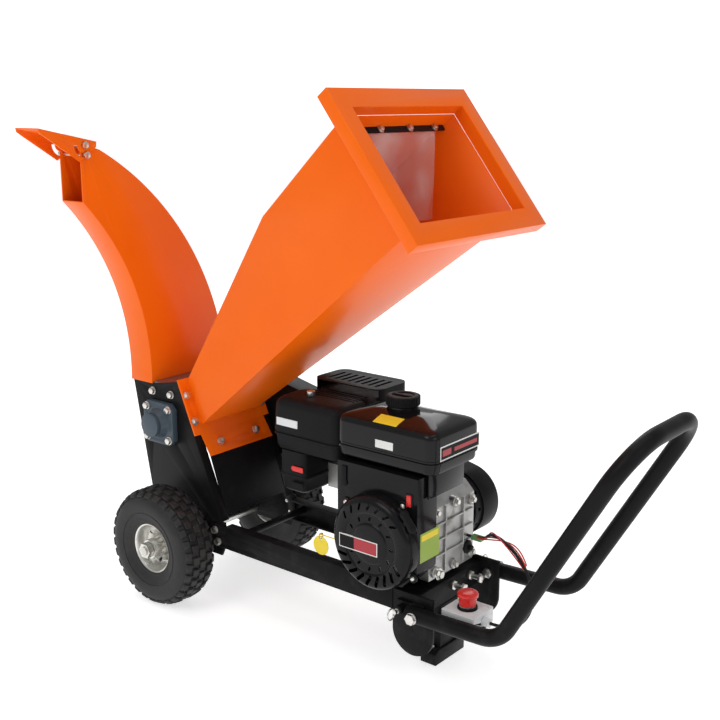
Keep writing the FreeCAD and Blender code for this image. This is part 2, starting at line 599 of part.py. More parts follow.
def casing():
    """The curved wall round the drum, open upward to the chute and forward to the hopper."""
    wall = "casing_wall"
    rear = "shaft_x - chamber_radius"
    long = "2 * (side_in)"
    left = (0, "side_in", 0)
    top = "shaft_level + chamber_radius"
    front = front_at("bed_level - 9") + " - plate_wall"
    outer = fuse(
        "CasingOuter",
        rod("CasingRound", "Y", "shaft_x", "-(side_in)", "shaft_level", "chamber_radius + " + wall, long),
        prism("CasingBack", "XZ", [(rear + " - " + wall, "shaft_level"),
                                   ("axle_x + top_back + " + wall, "top_level - 1"),
                                   ("chute_x + chute_thick + 2", "top_level - 1"),
                                   ("shaft_x + 4", "shaft_level")], long, left),
        prism("CasingFront", "XZ", [("chute_x + chute_thick", "top_level - 1"),
                                    (front_at("top_level - 1") + " - plate_wall", "top_level - 1"),
                                    (front, "bed_level - 9"), ("shaft_x + 30", "bed_level - 9"),
                                    ("shaft_x", "shaft_level")], long, left))
    inner_long = long + " + 2"
    inner_left = (0, "side_in + 1", 0)
    inner = [
        rod("ChamberRound", "Y", "shaft_x", "-(side_in) - 1", "shaft_level", "chamber_radius", inner_long),
        prism("ChamberBack", "XZ", [(rear, "shaft_level"), ("chute_x + 2 * chute_wall + 8", "top_level + 9"),
                                    ("chute_x + chute_thick - chute_wall", "top_level + 9"),
                                    ("chute_x + chute_thick - chute_wall", "top_level - 14"),
                                    ("shaft_x + 4", "shaft_level")], inner_long, inner_left),
        prism("ChamberFront", "XZ", [("shaft_x", "%s - 1" % top),
                                     (front_at(top) + " + plate_wall", top + " + 4"),
                                     (front_at("bed_level") + " + plate_wall", "bed_level"),
                                     ("shaft_x + 40", "bed_level"), ("shaft_x", "shaft_level")],
              inner_long, inner_left)]
    wall_round = cut("Casing", outer, *inner)
    node("bed_knife", box("BedKnife", "shaft_x + sqrt((drum_radius + knife_reach + bed_gap)^2 - "
                          "(shaft_level - bed_level)^2)", "-drum_half", "bed_level", "bed_long",
                          "2 * drum_half", "bed_thick"))
    fold = "lip_high"
    out = front_at(fold) + " + lip_tall * tan(front_lean + lip_turn)"
    low = "panel_low"
    panel = [(front_at(fold), fold), (out, "lip_high - lip_tall"), (front_at(low), low),
             (front_at(low) + " - plate_wall", low), (out + " - plate_wall", "lip_high - lip_tall"),
             (front_at(fold) + " - plate_wall", fold)]
    plate = prism("FrontPanel", "XZ", panel, "2 * (side_face - front_flange)", (0,
                                                                                "side_face - front_flange", 0))
    node("front_panel", cut("FrontPanelCut", plate, *leaning_holes("PanelHole", LIP_LEAN, LIP_BOLTS)))
    cover_back = "chute_x + chute_thick + 1"
    cover = [(cover_back, "top_level"), (front_at("top_level") + " - plate_wall", "top_level"),
             (front_at("top_level + 4") + " - plate_wall", "top_level + 4"), (cover_back, "top_level + 4")]
    node("rotor_casing", group("RotorCasing", wall_round, prism("TopCover", "XZ", cover, long, left)))


def rotor():
    """Drum, shaft, two knives, bearing units and the belt pulley."""
    long = "shaft_left + shaft_right"
    shaft = rod("Shaft", "Y", "shaft_x", "-shaft_right", "shaft_level", "shaft_radius", long)
    knives = []
    for key, level in (("Top", "shaft_level + drum_radius + knife_reach - knife_long"),
                       ("Low", "shaft_level - drum_radius - knife_reach")):
        knives.append(box("Knife" + key, "shaft_x - knife_thick / 2", "-drum_half", level,
                          "knife_thick", "2 * drum_half", "knife_long"))
    node("rotor_knives", group("Knives", *knives))
    drum = rod("DrumRound", "Y", "shaft_x", "-drum_half", "shaft_level", "drum_radius", "2 * drum_half")
    node("rotor_drum", fuse("DrumAndShaft", cut("Drum", drum, *knives), shaft))
    flange = prism("UnitFlange", "XZ", [
        ("-unit_half", "-unit_half + unit_corner"), ("-unit_half + unit_corner", "-unit_half"),
        ("unit_half - unit_corner", "-unit_half"), ("unit_half", "-unit_half + unit_corner"),
        ("unit_half", "unit_half - unit_corner"), ("unit_half - unit_corner", "unit_half"),
        ("-unit_half + unit_corner", "unit_half"), ("-unit_half", "unit_half - unit_corner")],
        "unit_thick", ("shaft_x", "side_face + unit_thick", "shaft_level"))
    hub = taper("UnitHub", "Y", "shaft_x", "side_face + unit_thick", "shaft_level", "unit_hub",
                "cap_radius + 1", "unit_hub_out")
    bore = rod("UnitBore", "Y", "shaft_x", "side_face - 1", "shaft_level", "shaft_radius + bearing_fit",
               "unit_thick + unit_hub_out + 2")
    unit = cut("Unit", fuse("UnitSolid", flange, hub), bore,
               *holes("UnitDrill", "Y", unit_places("side_face"), "unit_thick"))
    start = "-side_face - unit_thick - unit_hub_out"
    cap = rod("CapRound", "Y", "shaft_x", start + " - cap_thick", "shaft_level", "cap_radius", "cap_thick")
    room = rod("CapRoom", "Y", "shaft_x", start + " - cap_thick + casing_wall", "shaft_level",
               "shaft_radius + 2", "cap_thick")
    node("bearing_units", group("BearingUnits", unit, mirrored("UnitOther", unit), cut("Cap", cap, room)))
    left = bolts("UnitBolt", "Y", unit_places("side_face + unit_thick"), "unit_thick + plate_wall",
                 flip=True)
    FIXINGS.extend(both_sides(left))
    node("rotor_pulley", pulley("RotorPulley", "shaft_x", "shaft_level", "shaft_radius"))


def pulley(name, x, level, bore):
    """A two-groove pulley; the grooves are square-sided for the belts' own clearance."""
    blank = rod(name + "Blank", "Y", x, "pulley_y", level, "pulley_radius", "pulley_wide")
    tools = [rod(name + "Bore", "Y", x, "pulley_y - 1", level, bore, "pulley_wide + 2")]
    for i in (0, 1):
        y = "pulley_y + groove_edge + %d * belt_pitch" % i
        ring = rod(name + "Ring%d" % i, "Y", x, y, level, "pulley_radius + 1", "groove_wide")
        core = rod(name + "Core%d" % i, "Y", x, y + " - 1", level, "pulley_radius - groove_depth",
                   "groove_wide + 2")
        tools.append(cut(name + "Groove%d" % i, ring, core))
    return cut(name, blank, *tools)


def belts():
    """Two belts that run clear in the grooves of the rotor and engine pulleys."""
    inside = "pulley_radius - groove_depth + belt_clear"

    def loop(key, radius, y, wide):
        flat = nose_down(box(key + "Flat", "shaft_x - (%s) * sin(belt_fall)" % radius, y,
                             "shaft_level - (%s) * cos(belt_fall)" % radius, "belt_span", wide,
                             "2 * (%s)" % radius), "belt_fall")
        ends = [rod(key + tag, "Y", x, y, level, radius, wide)
                for tag, x, level in (("A", "shaft_x", "shaft_level"), ("B", "crank_x", "crank_level"))]
        return fuse(key, flat, *ends)
    made = []
    for i in (0, 1):
        y = "pulley_y + groove_edge + %d * belt_pitch + (groove_wide - belt_wide) / 2" % i
        made.append(cut("Belt%d" % i, loop("BeltOut%d" % i, inside + " + belt_tall", y, "belt_wide"),
                        loop("BeltIn%d" % i, inside, y + " - 1", "belt_wide + 2")))
    node("drive_belts", group("DriveBelts", *made))


def guard():
    """A closed belt guard: a back plate with two openings and a pressed shell, round at both ends."""
    def outline(inset):
        rear, front = "(guard_rear - %s)" % inset, "(guard_round - %s)" % inset
        over, under = "(belt_fall - guard_spread)", "(belt_fall + guard_spread)"
        return [("shaft_x + %s * sin(%s)" % (rear, over), "shaft_level + %s * cos(%s)" % (rear, over)),
                ("crank_x + %s * sin(%s)" % (front, over), "crank_level + %s * cos(%s)" % (front, over)),
                ("crank_x - %s * sin(%s)" % (front, under), "crank_level - %s * cos(%s)" % (front, under)),
                ("shaft_x - %s * sin(%s)" % (rear, under), "shaft_level - %s * cos(%s)" % (rear, under))]

    def shape(key, inset, y, wide):
        return fuse(key, prism(key + "Flat", "XZ", outline(inset), wide, (0, "(%s) + (%s)" % (y, wide), 0)),
                    rod(key + "Rear", "Y", "shaft_x", y, "shaft_level", "guard_rear - " + inset, wide),
                    rod(key + "Front", "Y", "crank_x", y, "crank_level", "guard_round - " + inset, wide))
    hole_long = "guard_wall + 2"
    back = cut("GuardPlate", shape("GuardBack", "0", "guard_in", "guard_wall"),
               rod("GuardHoleA", "Y", "shaft_x", "guard_in - 1", "shaft_level",
                   "unit_bolt_half * sqrt(2) + washer_radius + cut_over", hole_long),
               rod("GuardHoleB", "Y", "crank_x", "guard_in - 1", "crank_level", "guard_hole", hole_long))
    start = "guard_in + guard_wall"
    shell = cut("GuardShell", shape("GuardOuter", "0", start, "guard_out - (%s)" % start),
                shape("GuardInner", "guard_wall", start + " - 1",
                      "guard_out - (%s) - guard_wall + 1" % start))
    node("belt_guard", shell)
    posts = [rod("GuardPost%d" % i, "Y", x, "side_face", z, "post_radius", "guard_in - side_face")
             for i, (x, z) in enumerate((("shaft_x + 6", "shaft_level + 70"), ("shaft_x + 70",
                                                                               "shaft_level - 70")))]
    node("belt_guard_back", fuse("GuardBackPosts", back, *posts))
    ring = rod("ClutchRing", "Y", "crank_x", "bell_y", "crank_level", "clutch_radius", "guard_in - bell_y")
    room = rod("ClutchRoom", "Y", "crank_x", "bell_y + clutch_wall", "crank_level",
               "clutch_radius - clutch_wall", "guard_in - bell_y")
    hole = rod("ClutchHole", "Y", "crank_x", "bell_y - 1", "crank_level", "crank_radius + bolt_clear", "20")
    vents = [nose_up(box("ClutchVent%d" % i, "crank_x", "bell_y + 9", "crank_level", "clutch_radius + 5",
                         "9", "7"), "%d" % angle) for i, angle in enumerate(range(0, 360, 30))]
    node("clutch_cover", cut("ClutchCover", ring, room, hole, *vents))


# ---------------------------------------------------------------- discharge chute and its hood
def chute_side(inset, grow):
    """The chute's side outline in (Y, Z); inset is the wall, grow opens both ends."""
    return [("side_face - %s" % inset, "top_level - %s" % grow, "chute_outer_round - %s" % inset, 1),
            ("chute_crown_y", "chute_crown_level - %s" % inset),
            ("chute_mouth_y - %s" % grow, "chute_mouth_high - %s" % inset),
            ("chute_mouth_y - %s" % grow, "chute_mouth_low + %s" % inset,
             "chute_inner_round + %s" % inset, -1),
            ("-side_face + %s" % inset, "top_level - %s" % grow)]


PIVOT_Y, PIVOT_Z = "hood_pivot_y", "hood_pivot_level"
CLAMP_Y, CLAMP_Z = "hood_pivot_y + 3", "hood_pivot_level - hood_slot_round"


def chute():
    """A folded duct, bowed to the machine's right, on top of the rotor housing."""
    outer = prism("ChuteOuter", "YZ", chute_side("0", "0"), "chute_thick", ("chute_x", 0, 0))
    inner = prism("ChuteInner", "YZ", chute_side("chute_wall", "1"), "chute_thick - 2 * chute_wall",
                  ("chute_x + chute_wall", 0, 0))
    drill = holes("ChuteDrill", "X", [("chute_x", PIVOT_Y, PIVOT_Z), ("chute_x", CLAMP_Y, CLAMP_Z)],
                  "chute_thick")
    node("chute", cut("Chute", outer, inner, *drill))
    bolts_made = []
    for key, y, z in (("A", PIVOT_Y, PIVOT_Z), ("B", CLAMP_Y, CLAMP_Z)):
        start = "chute_x - hood_gap - hood_wall"
        long = "chute_thick + 2 * hood_gap + 2 * hood_wall"
        pin = rod("HoodPin" + key, "X", start + " - 2 * hood_gap", y, z, "bolt_radius",
                  long + " + 4 * hood_gap")
        far = hexagon("HoodNut" + key, "X", start + " - 2 * hood_gap - bolt_head", y, z, "bolt_across",
                      "bolt_head")
        near = hexagon("HoodHead" + key, "X", "%s + %s + 2 * hood_gap" % (start, long), y, z, "bolt_across",
                       "bolt_head")
        bolts_made.append(fuse("HoodBolt" + key, pin, far, near))
    FIXINGS.extend(bolts_made)


def hood():
    """The tilting deflector: an inverted channel over the mouth, with a curved clamp slot."""
    tip_y, tip_z = "chute_mouth_y - hood_tip_out", "hood_pivot_level + hood_tip_rise"
    back_y, back_z = "chute_mouth_y + hood_back", "hood_pivot_level + 6"
    start = "chute_x - hood_gap - hood_wall"
    outline = [(tip_y, tip_z), (tip_y + " + 2", tip_z + " - 9"), ("chute_mouth_y - 5",
                                                                  "hood_pivot_level - 33"),
               (back_y + " - 1", back_z + " - 11"), (back_y, back_z)]
    outer = prism("HoodOuter", "YZ", outline, "chute_thick + 2 * hood_gap + 2 * hood_wall", (start, 0, 0))
    slope = "(%s - (%s)) / (%s - (%s))" % (tip_z, back_z, back_y, tip_y)
    rise = "hood_wall - 30 * (%s)" % slope
    inside = [(tip_y + " - 30", tip_z + " - (%s)" % rise), (tip_y + " - 30", "hood_pivot_level - 90"),
              (back_y + " + 30", "hood_pivot_level - 90"),
              (back_y + " + 30", back_z + " - hood_wall - 30 * (%s)" % slope)]
    inner = prism("HoodInner", "YZ", inside, "chute_thick + 2 * hood_gap", (start + " + hood_wall", 0, 0))
    long = "chute_thick + 2 * hood_gap + 2 * hood_wall"
    pivot = rod("HoodPivotHole", "X", start + " - 1", PIVOT_Y, PIVOT_Z, "bolt_radius + bearing_fit",
                long + " + 2")
    reach = "bolt_radius + bolt_clear"
    ring = cut("HoodSlotRing",
               rod("HoodSlotOut", "X", start + " - 1", PIVOT_Y, PIVOT_Z,
                   "hood_slot_round + " + reach, long + " + 2"),
               rod("HoodSlotIn", "X", start + " - 2", PIVOT_Y, PIVOT_Z,
                   "hood_slot_round - (%s)" % reach, long + " + 4"))
    quarter = box("HoodSlotQuarter", start + " - 1", PIVOT_Y + " - 40", PIVOT_Z + " - 40", long + " + 2",
                  "43", "40")
    clamp = rod("HoodClampHole", "X", start + " - 1", CLAMP_Y, CLAMP_Z, reach, long + " + 2")
    slot = common("HoodSlot", ring, quarter)
    node("chute_hood", cut("Hood", outer, inner, pivot, slot, clamp))


# ---------------------------------------------------------------- feed hopper and curtain
MOUTH_X, MOUTH_Z = "axle_x + mouth_x", "mouth_level"
TURN = "hopper_angle"


def on_mouth(u, w):
    """Machine (X, Z) of a point given along the mouth's normal and up its slope."""
    return ("%s + (%s) * cos(%s) - (%s) * sin(%s)" % (MOUTH_X, u, TURN, w, TURN),
            "%s + (%s) * sin(%s) + (%s) * cos(%s)" % (MOUTH_Z, u, TURN, w, TURN))


def duct(name, inset, grow):
    """The hopper's tapering duct as a solid: side outline met with plan outline."""
    high, low = "duct_high - 1.7 * %s" % inset, "duct_low + 1.3 * %s" % inset
    high_x, low_x = (front_at(level) + " + hopper_flange_wall" for level in ("duct_high", "duct_low"))
    half = "hopper_mouth_tall / 2 - %s" % inset
    top, bottom = on_mouth(grow, half), on_mouth(grow, "-(%s)" % half)
    back = [(high_x + " - 12", high), (low_x + " - 12", low)] if grow != "0" else []
    side = back + [(low_x, low), bottom, top,
                   ("axle_x + bend_x + 0.73 * %s" % inset, "bend_level - 0.7 * %s" % inset), (high_x, high)]
    profile = prism(name + "Side", "XZ", side, "2 * rim_half", (0, "rim_half", 0))
    reach = "(hopper_run + 60)"
    taper_rate = "(hopper_mouth_half - hopper_base_half) / hopper_run"
    wide, narrow = ("hopper_mouth_half - %s + %s * %s" % (inset, grow, taper_rate),
                    "hopper_mouth_half - %s - %s * %s" % (inset, reach, taper_rate))
    plan_outline = [("-" + reach, "-(%s)" % narrow), (grow, "-(%s)" % wide), (grow, wide),
                    ("-" + reach, narrow)]
    deep = "hopper_run"
    base = on_mouth("0", "-%s / 2" % deep)
    plan = nose_up(prism(name + "Plan", "XY", plan_outline, deep, (base[0], 0, base[1])), "hopper_angle")
    return common(name, profile, plan)


def hopper():
    """A folded duct welded to a leaning base flange, with a boxed rim round its mouth."""
    outer = duct("DuctOuter", "0", "0")
    inner = duct("DuctInner", "hopper_wall", "1")
    flange = leaning("HopperFlange", "front_level - 2", "lip_high", "0", "hopper_flange_wall", "side_face")
    fold_x = front_at("lip_high")
    out = "lip_tall * tan(front_lean + lip_turn)"
    lip_outline = [(fold_x, "lip_high"), (fold_x + " + hopper_flange_wall", "lip_high"),
                   ("%s + %s + hopper_flange_wall" % (fold_x, out), "lip_high - lip_tall"),
                   ("%s + %s" % (fold_x, out), "lip_high - lip_tall")]
    lip = prism("HopperLip", "XZ", lip_outline, "2 * lip_half", (0, "lip_half", 0))
    drill = leaning_holes("LipHole", LIP_LEAN, LIP_BOLTS) + leaning_holes("FlangeHole", "front_lean",
                                                                          FLANGE_BOLTS)
    shell = cut("HopperShell", fuse("HopperSolid", outer, flange, lip), inner, *drill)
    node("hopper", shell)
    rim = rim_part("RimOuter", "0", "rim_depth", "rim_half", "rim_tall / 2")
    rim_open = rim_part("RimOpen", "-1", "rim_depth + 2", "hopper_mouth_half", "hopper_mouth_tall / 2")
    groove = cut("RimGroove",
                 rim_part("RimGrooveOut", "-1", "rim_depth - rim_sheet + 1", "rim_half - rim_sheet",
                          "rim_tall / 2 - rim_sheet"),
                 rim_part("RimGrooveIn", "-2", "rim_depth + 2", "hopper_mouth_half + rim_sheet",
                          "hopper_mouth_tall / 2 + rim_sheet"))
    node("hopper_rim", cut("HopperRim", rim, rim_open, groove))
    depth = "-bar_in - bar_thick"
    bar = rim_part("CurtainBar", depth, "bar_thick", "bar_half", "bar_tall",
                   "hopper_mouth_tall / 2 + 6 - 2 * bar_tall")
    node("curtain_bar", common("CurtainBarFit", bar, inner))
    return inner


def rim_part(name, u, thick, half_wide, half_tall, low=None):
    """A block square to the hopper's mouth, centred on it unless its low edge is given."""
    base = on_mouth(u, low if low else "-(%s)" % half_tall)
    block = box(name, base[0], "-(%s)" % half_wide, base[1], thick, "2 * (%s)" % half_wide,
                "2 * (%s)" % half_tall)
    return nose_up(block, "hopper_angle")


def curtain():
    """The clear feed curtain, hung from behind the bar."""
    x, z = on_mouth("-bar_in - bar_thick", "hopper_mouth_tall / 2 + 6 - 2 * bar_tall + curtain_up")
    node("feed_curtain", box("FeedCurtain", x + " - curtain_back - curtain_thick", "-curtain_half",
                             z + " - curtain_tall", "curtain_thick", "2 * curtain_half", "curtain_tall"))


# ---------------------------------------------------------------- engine
def engine():
    """The crankcase, cylinder, head, crankshaft, flywheel and their covers."""
    side = [("crank_x + case_back", "deck_level + foot_flange_wall"),
            ("crank_x + case_front", "deck_level + foot_flange_wall"),
            ("crank_x + case_front", "case_top - 22"), ("crank_x + case_front - 22", "case_top"),
            ("crank_x + case_back + 16", "case_top"), ("crank_x + case_back", "case_top - 30")]
    case = prism("CaseBlock", "XZ", side, "case_left - case_right", (0, "case_left", 0))
    foot = box("CaseFoot", "crank_x + case_back", "case_right - foot_flange", "deck_level",
               "case_front - case_back", "case_left - case_right + 2 * foot_flange - 6", "foot_flange_wall")
    boss = taper("CaseBoss", "Y", "crank_x", "case_left", "crank_level", "case_boss", "case_boss - 12",
                 "bell_y - case_left")
    cover = rod("CaseCover", "Y", "crank_x - 8", "case_left", "crank_level - 12", "case_boss + 22",
                "side_cover")
    bore = rod("CrankBore", "Y", "crank_x", "case_right - 1", "crank_level", "crank_radius + bearing_fit",
               "bell_y - case_right + 2")
    case = fuse("Case", case, foot, boss, cover)
    stations = [("crank_x + case_back + 14", "case_right - foot_flange / 2",
                 "deck_level + foot_flange_wall"),
                ("crank_x", "case_right - foot_flange / 2", "deck_level + foot_flange_wall")]
    step = box("CaseStep", "deck_front - case_clear", "case_right - 2 * foot_flange",
               "deck_level - cut_over",
               "crank_x + case_front - deck_front + 2 * foot_flange",
               "case_left - case_right + 4 * foot_flange",
               "rail_base + rail_height - rail_web + case_clear - deck_level + cut_over")
    sump = box("CaseSump", "crank_x + case_back + case_wall", "case_right + case_wall",
               "deck_level + foot_flange_wall + 2 * case_wall", "case_front - case_back - 2 * case_wall",
               "case_left - case_right - 2 * case_wall",
               "case_top - deck_level - foot_flange_wall - 6 * case_wall")
    hollow = cut("SumpRoom", sump, rod("CrankTunnel", "Y", "crank_x", "case_right", "crank_level",
                                       "crank_radius + case_wall", "case_left - case_right"))
    node("crankcase", cut("CaseCut", case, bore, step, hollow))
    FIXINGS.extend(hexagon("EngineBolt%d" % i, "Z", x, y, z, "bolt_across", "bolt_head")
                   for i, (x, y, z) in enumerate(stations))
    barrel = [box("Barrel", "crank_x + barrel_back", "barrel_y - barrel_half", "barrel_low",
                  "case_back - barrel_back", "2 * barrel_half", "barrel_high - barrel_low")]
    barrel += [box("Fin%d" % i, "crank_x + barrel_back + %d * fin_pitch" % i,
                   "barrel_y - barrel_half - fin_reach", "barrel_low - fin_reach", "fin_wall",
                   "2 * barrel_half + 2 * fin_reach", "barrel_high - barrel_low + 2 * fin_reach")
               for i in range(int(SIZES["fin_count"]))]
    head = box("HeadBox", "crank_x + barrel_back - head_long", "barrel_y - barrel_half", "barrel_low",
               "head_long", "2 * barrel_half", "barrel_high - barrel_low")
    node("cylinder", group("CylinderAndHead", fuse("Cylinder", *barrel), head))
    node("crankshaft", rod("Crankshaft", "Y", "crank_x", "flywheel_right", "crank_level", "crank_radius",
                           "crank_end - flywheel_right"))
    wheel = rod("FlywheelDisc", "Y", "crank_x", "flywheel_right", "crank_level", "fan_radius",
                "flywheel_thick")
    node("flywheel", cut("Flywheel", wheel, rod("FlywheelBore", "Y", "crank_x", "flywheel_right - 1",
                                                "crank_level", "crank_radius", "flywheel_thick + 2")))
    node("engine_pulley", pulley("EnginePulley", "crank_x", "crank_level", "crank_radius"))


def cowling():
    """The fan shroud, the round recoil cover, the starter grip and the rocker switch."""
    def outline(inset):
        return [("crank_x + shroud_back + %s" % inset, "shroud_low + 30"),
                ("crank_x + shroud_back + 34", "shroud_low + %s" % inset),
                ("crank_x + shroud_front - 34", "shroud_low + %s" % inset),
                ("crank_x + shroud_front - %s" % inset, "shroud_low + 36"),
                ("crank_x + shroud_front - %s" % inset, "shroud_top - %s" % inset),
                ("crank_x + shroud_back + %s" % inset, "shroud_top - %s" % inset)]
    long = "case_right - shroud_right"
    shell = cut("ShroudShell", prism("ShroudOuter", "XZ", outline("0"), long, (0, "case_right", 0)),
                prism("ShroudInner", "XZ", outline("shroud_wall"), long + " - shroud_wall + 1",
                      (0, "case_right + 1", 0)),
                rod("ShroudIntake", "Y", "crank_x", "shroud_right - 1", "crank_level", "intake_radius",
                    "shroud_wall + 2"),
                box("SwitchSeat", "crank_x + switch_x", "shroud_right - 1", "switch_low", "switch_wide",
                    "shroud_wall + 2", "switch_tall"))
    deep = "(shroud_right - recoil_face)"
    shoulder, crown = "-%s + recoil_round" % deep, "recoil_radius - recoil_round"
    profile = [("recoil_radius", "0"), ("recoil_radius", shoulder, "recoil_round", -1), (crown, "-" + deep),
               ("0", "-" + deep), ("0", "-%s + recoil_wall" % deep),
               (crown, "-%s + recoil_wall" % deep, "recoil_round - recoil_wall", 1),
               ("recoil_radius - recoil_wall", shoulder), ("recoil_radius - recoil_wall", "0")]
    node("recoil_cover", revolve("Recoil", profile, ("crank_x", "shroud_right", "crank_level")))
    grip_x, grip_z = "crank_x + grip_forward", "crank_level + grip_rise"
    grip = nose_up(box("GripBar", grip_x, "grip_right", grip_z, "grip_thick", "grip_deep", "grip_long"),
                   "grip_angle")
    node("starter_grip", grip)
    x, low = "crank_x + switch_x", "switch_low"
    frame_box = box("SwitchFrame", x, "shroud_right - switch_out", low, "switch_wide",
                    "switch_out + shroud_wall",
                    "switch_tall")
    window = box("SwitchWindow", x + " + switch_rim", "shroud_right - switch_out - cut_over",
                 low + " + switch_rim",
                 "switch_wide - 2 * switch_rim", "switch_out + shroud_wall + 2 * cut_over",
                 "switch_tall - 2 * switch_rim")
    stud = rod("ThrottlePin", "Y", "crank_x + throttle_back", "shroud_right - lever_gap", "throttle_level",
               "lever_pin", "lever_gap")
    node("fan_shroud", fuse("FanShroud", shell, cut("SwitchSurround", frame_box, window), stud))
    node("engine_switch", box("Rocker", x + " + switch_rim + switch_clear",
                              "shroud_right - switch_out - rocker_half",
                              low + " + switch_rim + switch_clear",
                              "switch_wide - 2 * (switch_rim + switch_clear)",
                              "2 * rocker_half", "switch_tall - 2 * (switch_rim + switch_clear)"))


def rounded_block(name, x, y, z, dx, dy, dz, radius):
    """An upright block with its four standing edges rounded."""
    return prism(name, "XY", [("0", "0"), (dx, "0"), (dx, dy), ("0", dy)], dz, (x, y, z),
                 round_edges=(upright, radius))


def tank():
    """The pressed fuel tank with its domed top, filler neck and turning cap."""
    x, wide = "crank_x + tank_back", "tank_front - tank_back"
    deep = "tank_left - tank_right"
    low = rounded_block("TankLow", x, "tank_right", "tank_low", wide, deep, "tank_side", "tank_round")
    top = doc.addObject("Part::Wedge", "TankTop")
    for prop, text in (("Xmin", "0"), ("Xmax", wide), ("Zmin", "0"), ("Zmax", deep), ("Ymin", "0"),
                       ("Ymax", "tank_dome"), ("X2min", "tank_inset"), ("X2max", wide + " - tank_inset"),
                       ("Z2min", "tank_inset"), ("Z2max", deep + " - tank_inset")):
        bind(top, prop, text)
    top.Placement = FreeCAD.Placement(V(), FreeCAD.Rotation(V(1, 0, 0), 90))
    put(top, x, "tank_left", "tank_low + tank_side")
    clip = rounded_block("TankClip", x, "tank_right", "tank_low + tank_side", wide, deep, "tank_dome",
                         "tank_round")
    neck_x, neck_y = "crank_x + cap_forward", "cap_side"
    crown = "tank_low + tank_side + tank_dome"
    neck = rod("TankNeck", "Z", neck_x, neck_y, crown + " - 2", "neck_radius", "neck_high + 2")
    cap = rod("CapBody", "Z", neck_x, neck_y, crown + " + cap_gap", "cap_over", "cap_high")
    hollow = rod("CapHollow", "Z", neck_x, neck_y, crown + " + cap_gap - 1", "neck_radius + bolt_clear",
                 "neck_high + 1.4 - cap_gap + 1")
    node("fuel_cap", cut("FuelCap", cap, hollow))
    bracket = [box("TankFoot%d" % i, "crank_x + %s" % x0, "-16", "case_top", "22", "40",
                   "tank_low - case_top")
               for i, x0 in enumerate(("case_back + 20", "case_front - 46"))]
    room = rounded_block("TankRoom", x + " + tank_wall", "tank_right + tank_wall", "tank_low + tank_wall",
                         wide + " - 2 * tank_wall", deep + " - 2 * tank_wall", "tank_side - tank_wall",
                         "tank_round - tank_wall")
    upper_in = "tank_inset + tank_wall"
    upper = box("TankRoomUpper", x + " + " + upper_in, "tank_right + " + upper_in,
                "tank_low + tank_side - cut_over",
                "%s - 2 * (%s)" % (wide, upper_in), "%s - 2 * (%s)" % (deep, upper_in),
                "tank_dome - tank_wall")
    whole = fuse("TankWhole", low, common("TankDome", top, clip), neck, *bracket)
    node("fuel_tank", cut("FuelTank", whole, room, upper))


def air_cleaner():
    """The air cleaner: elbow housing, cover, wing knob; the carburettor and its levers."""
    x, wide = "crank_x + cleaner_back", "cleaner_front - cleaner_back"
    deep = "cleaner_left - cleaner_right"
    cover = rounded_block("CleanerCover", x, "cleaner_right", "cleaner_low", wide, deep,
                          "cleaner_top - cleaner_low", "cleaner_round")
    node("air_cleaner_cover", cover)
    elbow = rounded_block("CleanerElbow", "crank_x + elbow_back", "cleaner_right + elbow_inset", "elbow_low",
                          "elbow_front - elbow_back", deep + " - 2 * elbow_inset",
                          "cleaner_low - elbow_low", "elbow_round")
    node("air_cleaner_knob", rod("CleanerKnob", "Z", "crank_x + knob_forward", "knob_side", "cleaner_top",
                                 "knob_radius", "knob_high"))
    carb = box("CarbBody", "crank_x + elbow_front", "carb_right", "carb_low",
               "barrel_back - head_long - elbow_front", "carb_left - carb_right", "carb_high - carb_low")
    node("carburettor", carb)
    face = "cleaner_right + elbow_inset"
    for name, x, z in (("choke_lever", "choke_forward", "choke_level"), ("fuel_tap", "choke_forward",
                                                                         "tap_level")):
        disc = rod(name + "Disc", "Y", "crank_x + " + x, face + " - lever_gap - lever_wall", z,
                   "lever_wide / 2",
                   "lever_wall")
        arm = box(name + "Arm", "crank_x + %s" % x, face + " - lever_gap - lever_wall",
                  z + " - lever_wide / 2",
                  "lever_long", "lever_wall", "lever_wide")
        node(name, fuse(name + "Shape", disc, arm))
    disc = rod("ThrottleDisc", "Y", "crank_x + throttle_back", "shroud_right - lever_gap - lever_wall",
               "throttle_level", "lever_wide / 2 + 2", "lever_wall")
    arm = box("ThrottleArm", "crank_x + throttle_back - lever_wide / 2",
              "shroud_right - lever_gap - lever_wall", "throttle_level", "lever_wide", "lever_wall",
              "lever_long + 8")
    node("throttle_lever", fuse("Throttle", disc, arm))
    pins = [rod("LeverPin%d" % i, "Y", "crank_x + choke_forward", face + " - lever_gap", z, "lever_pin",
                "lever_gap") for i, z in enumerate(("choke_level", "tap_level"))]
    node("air_cleaner_base", fuse("CleanerBase", elbow, *pins))


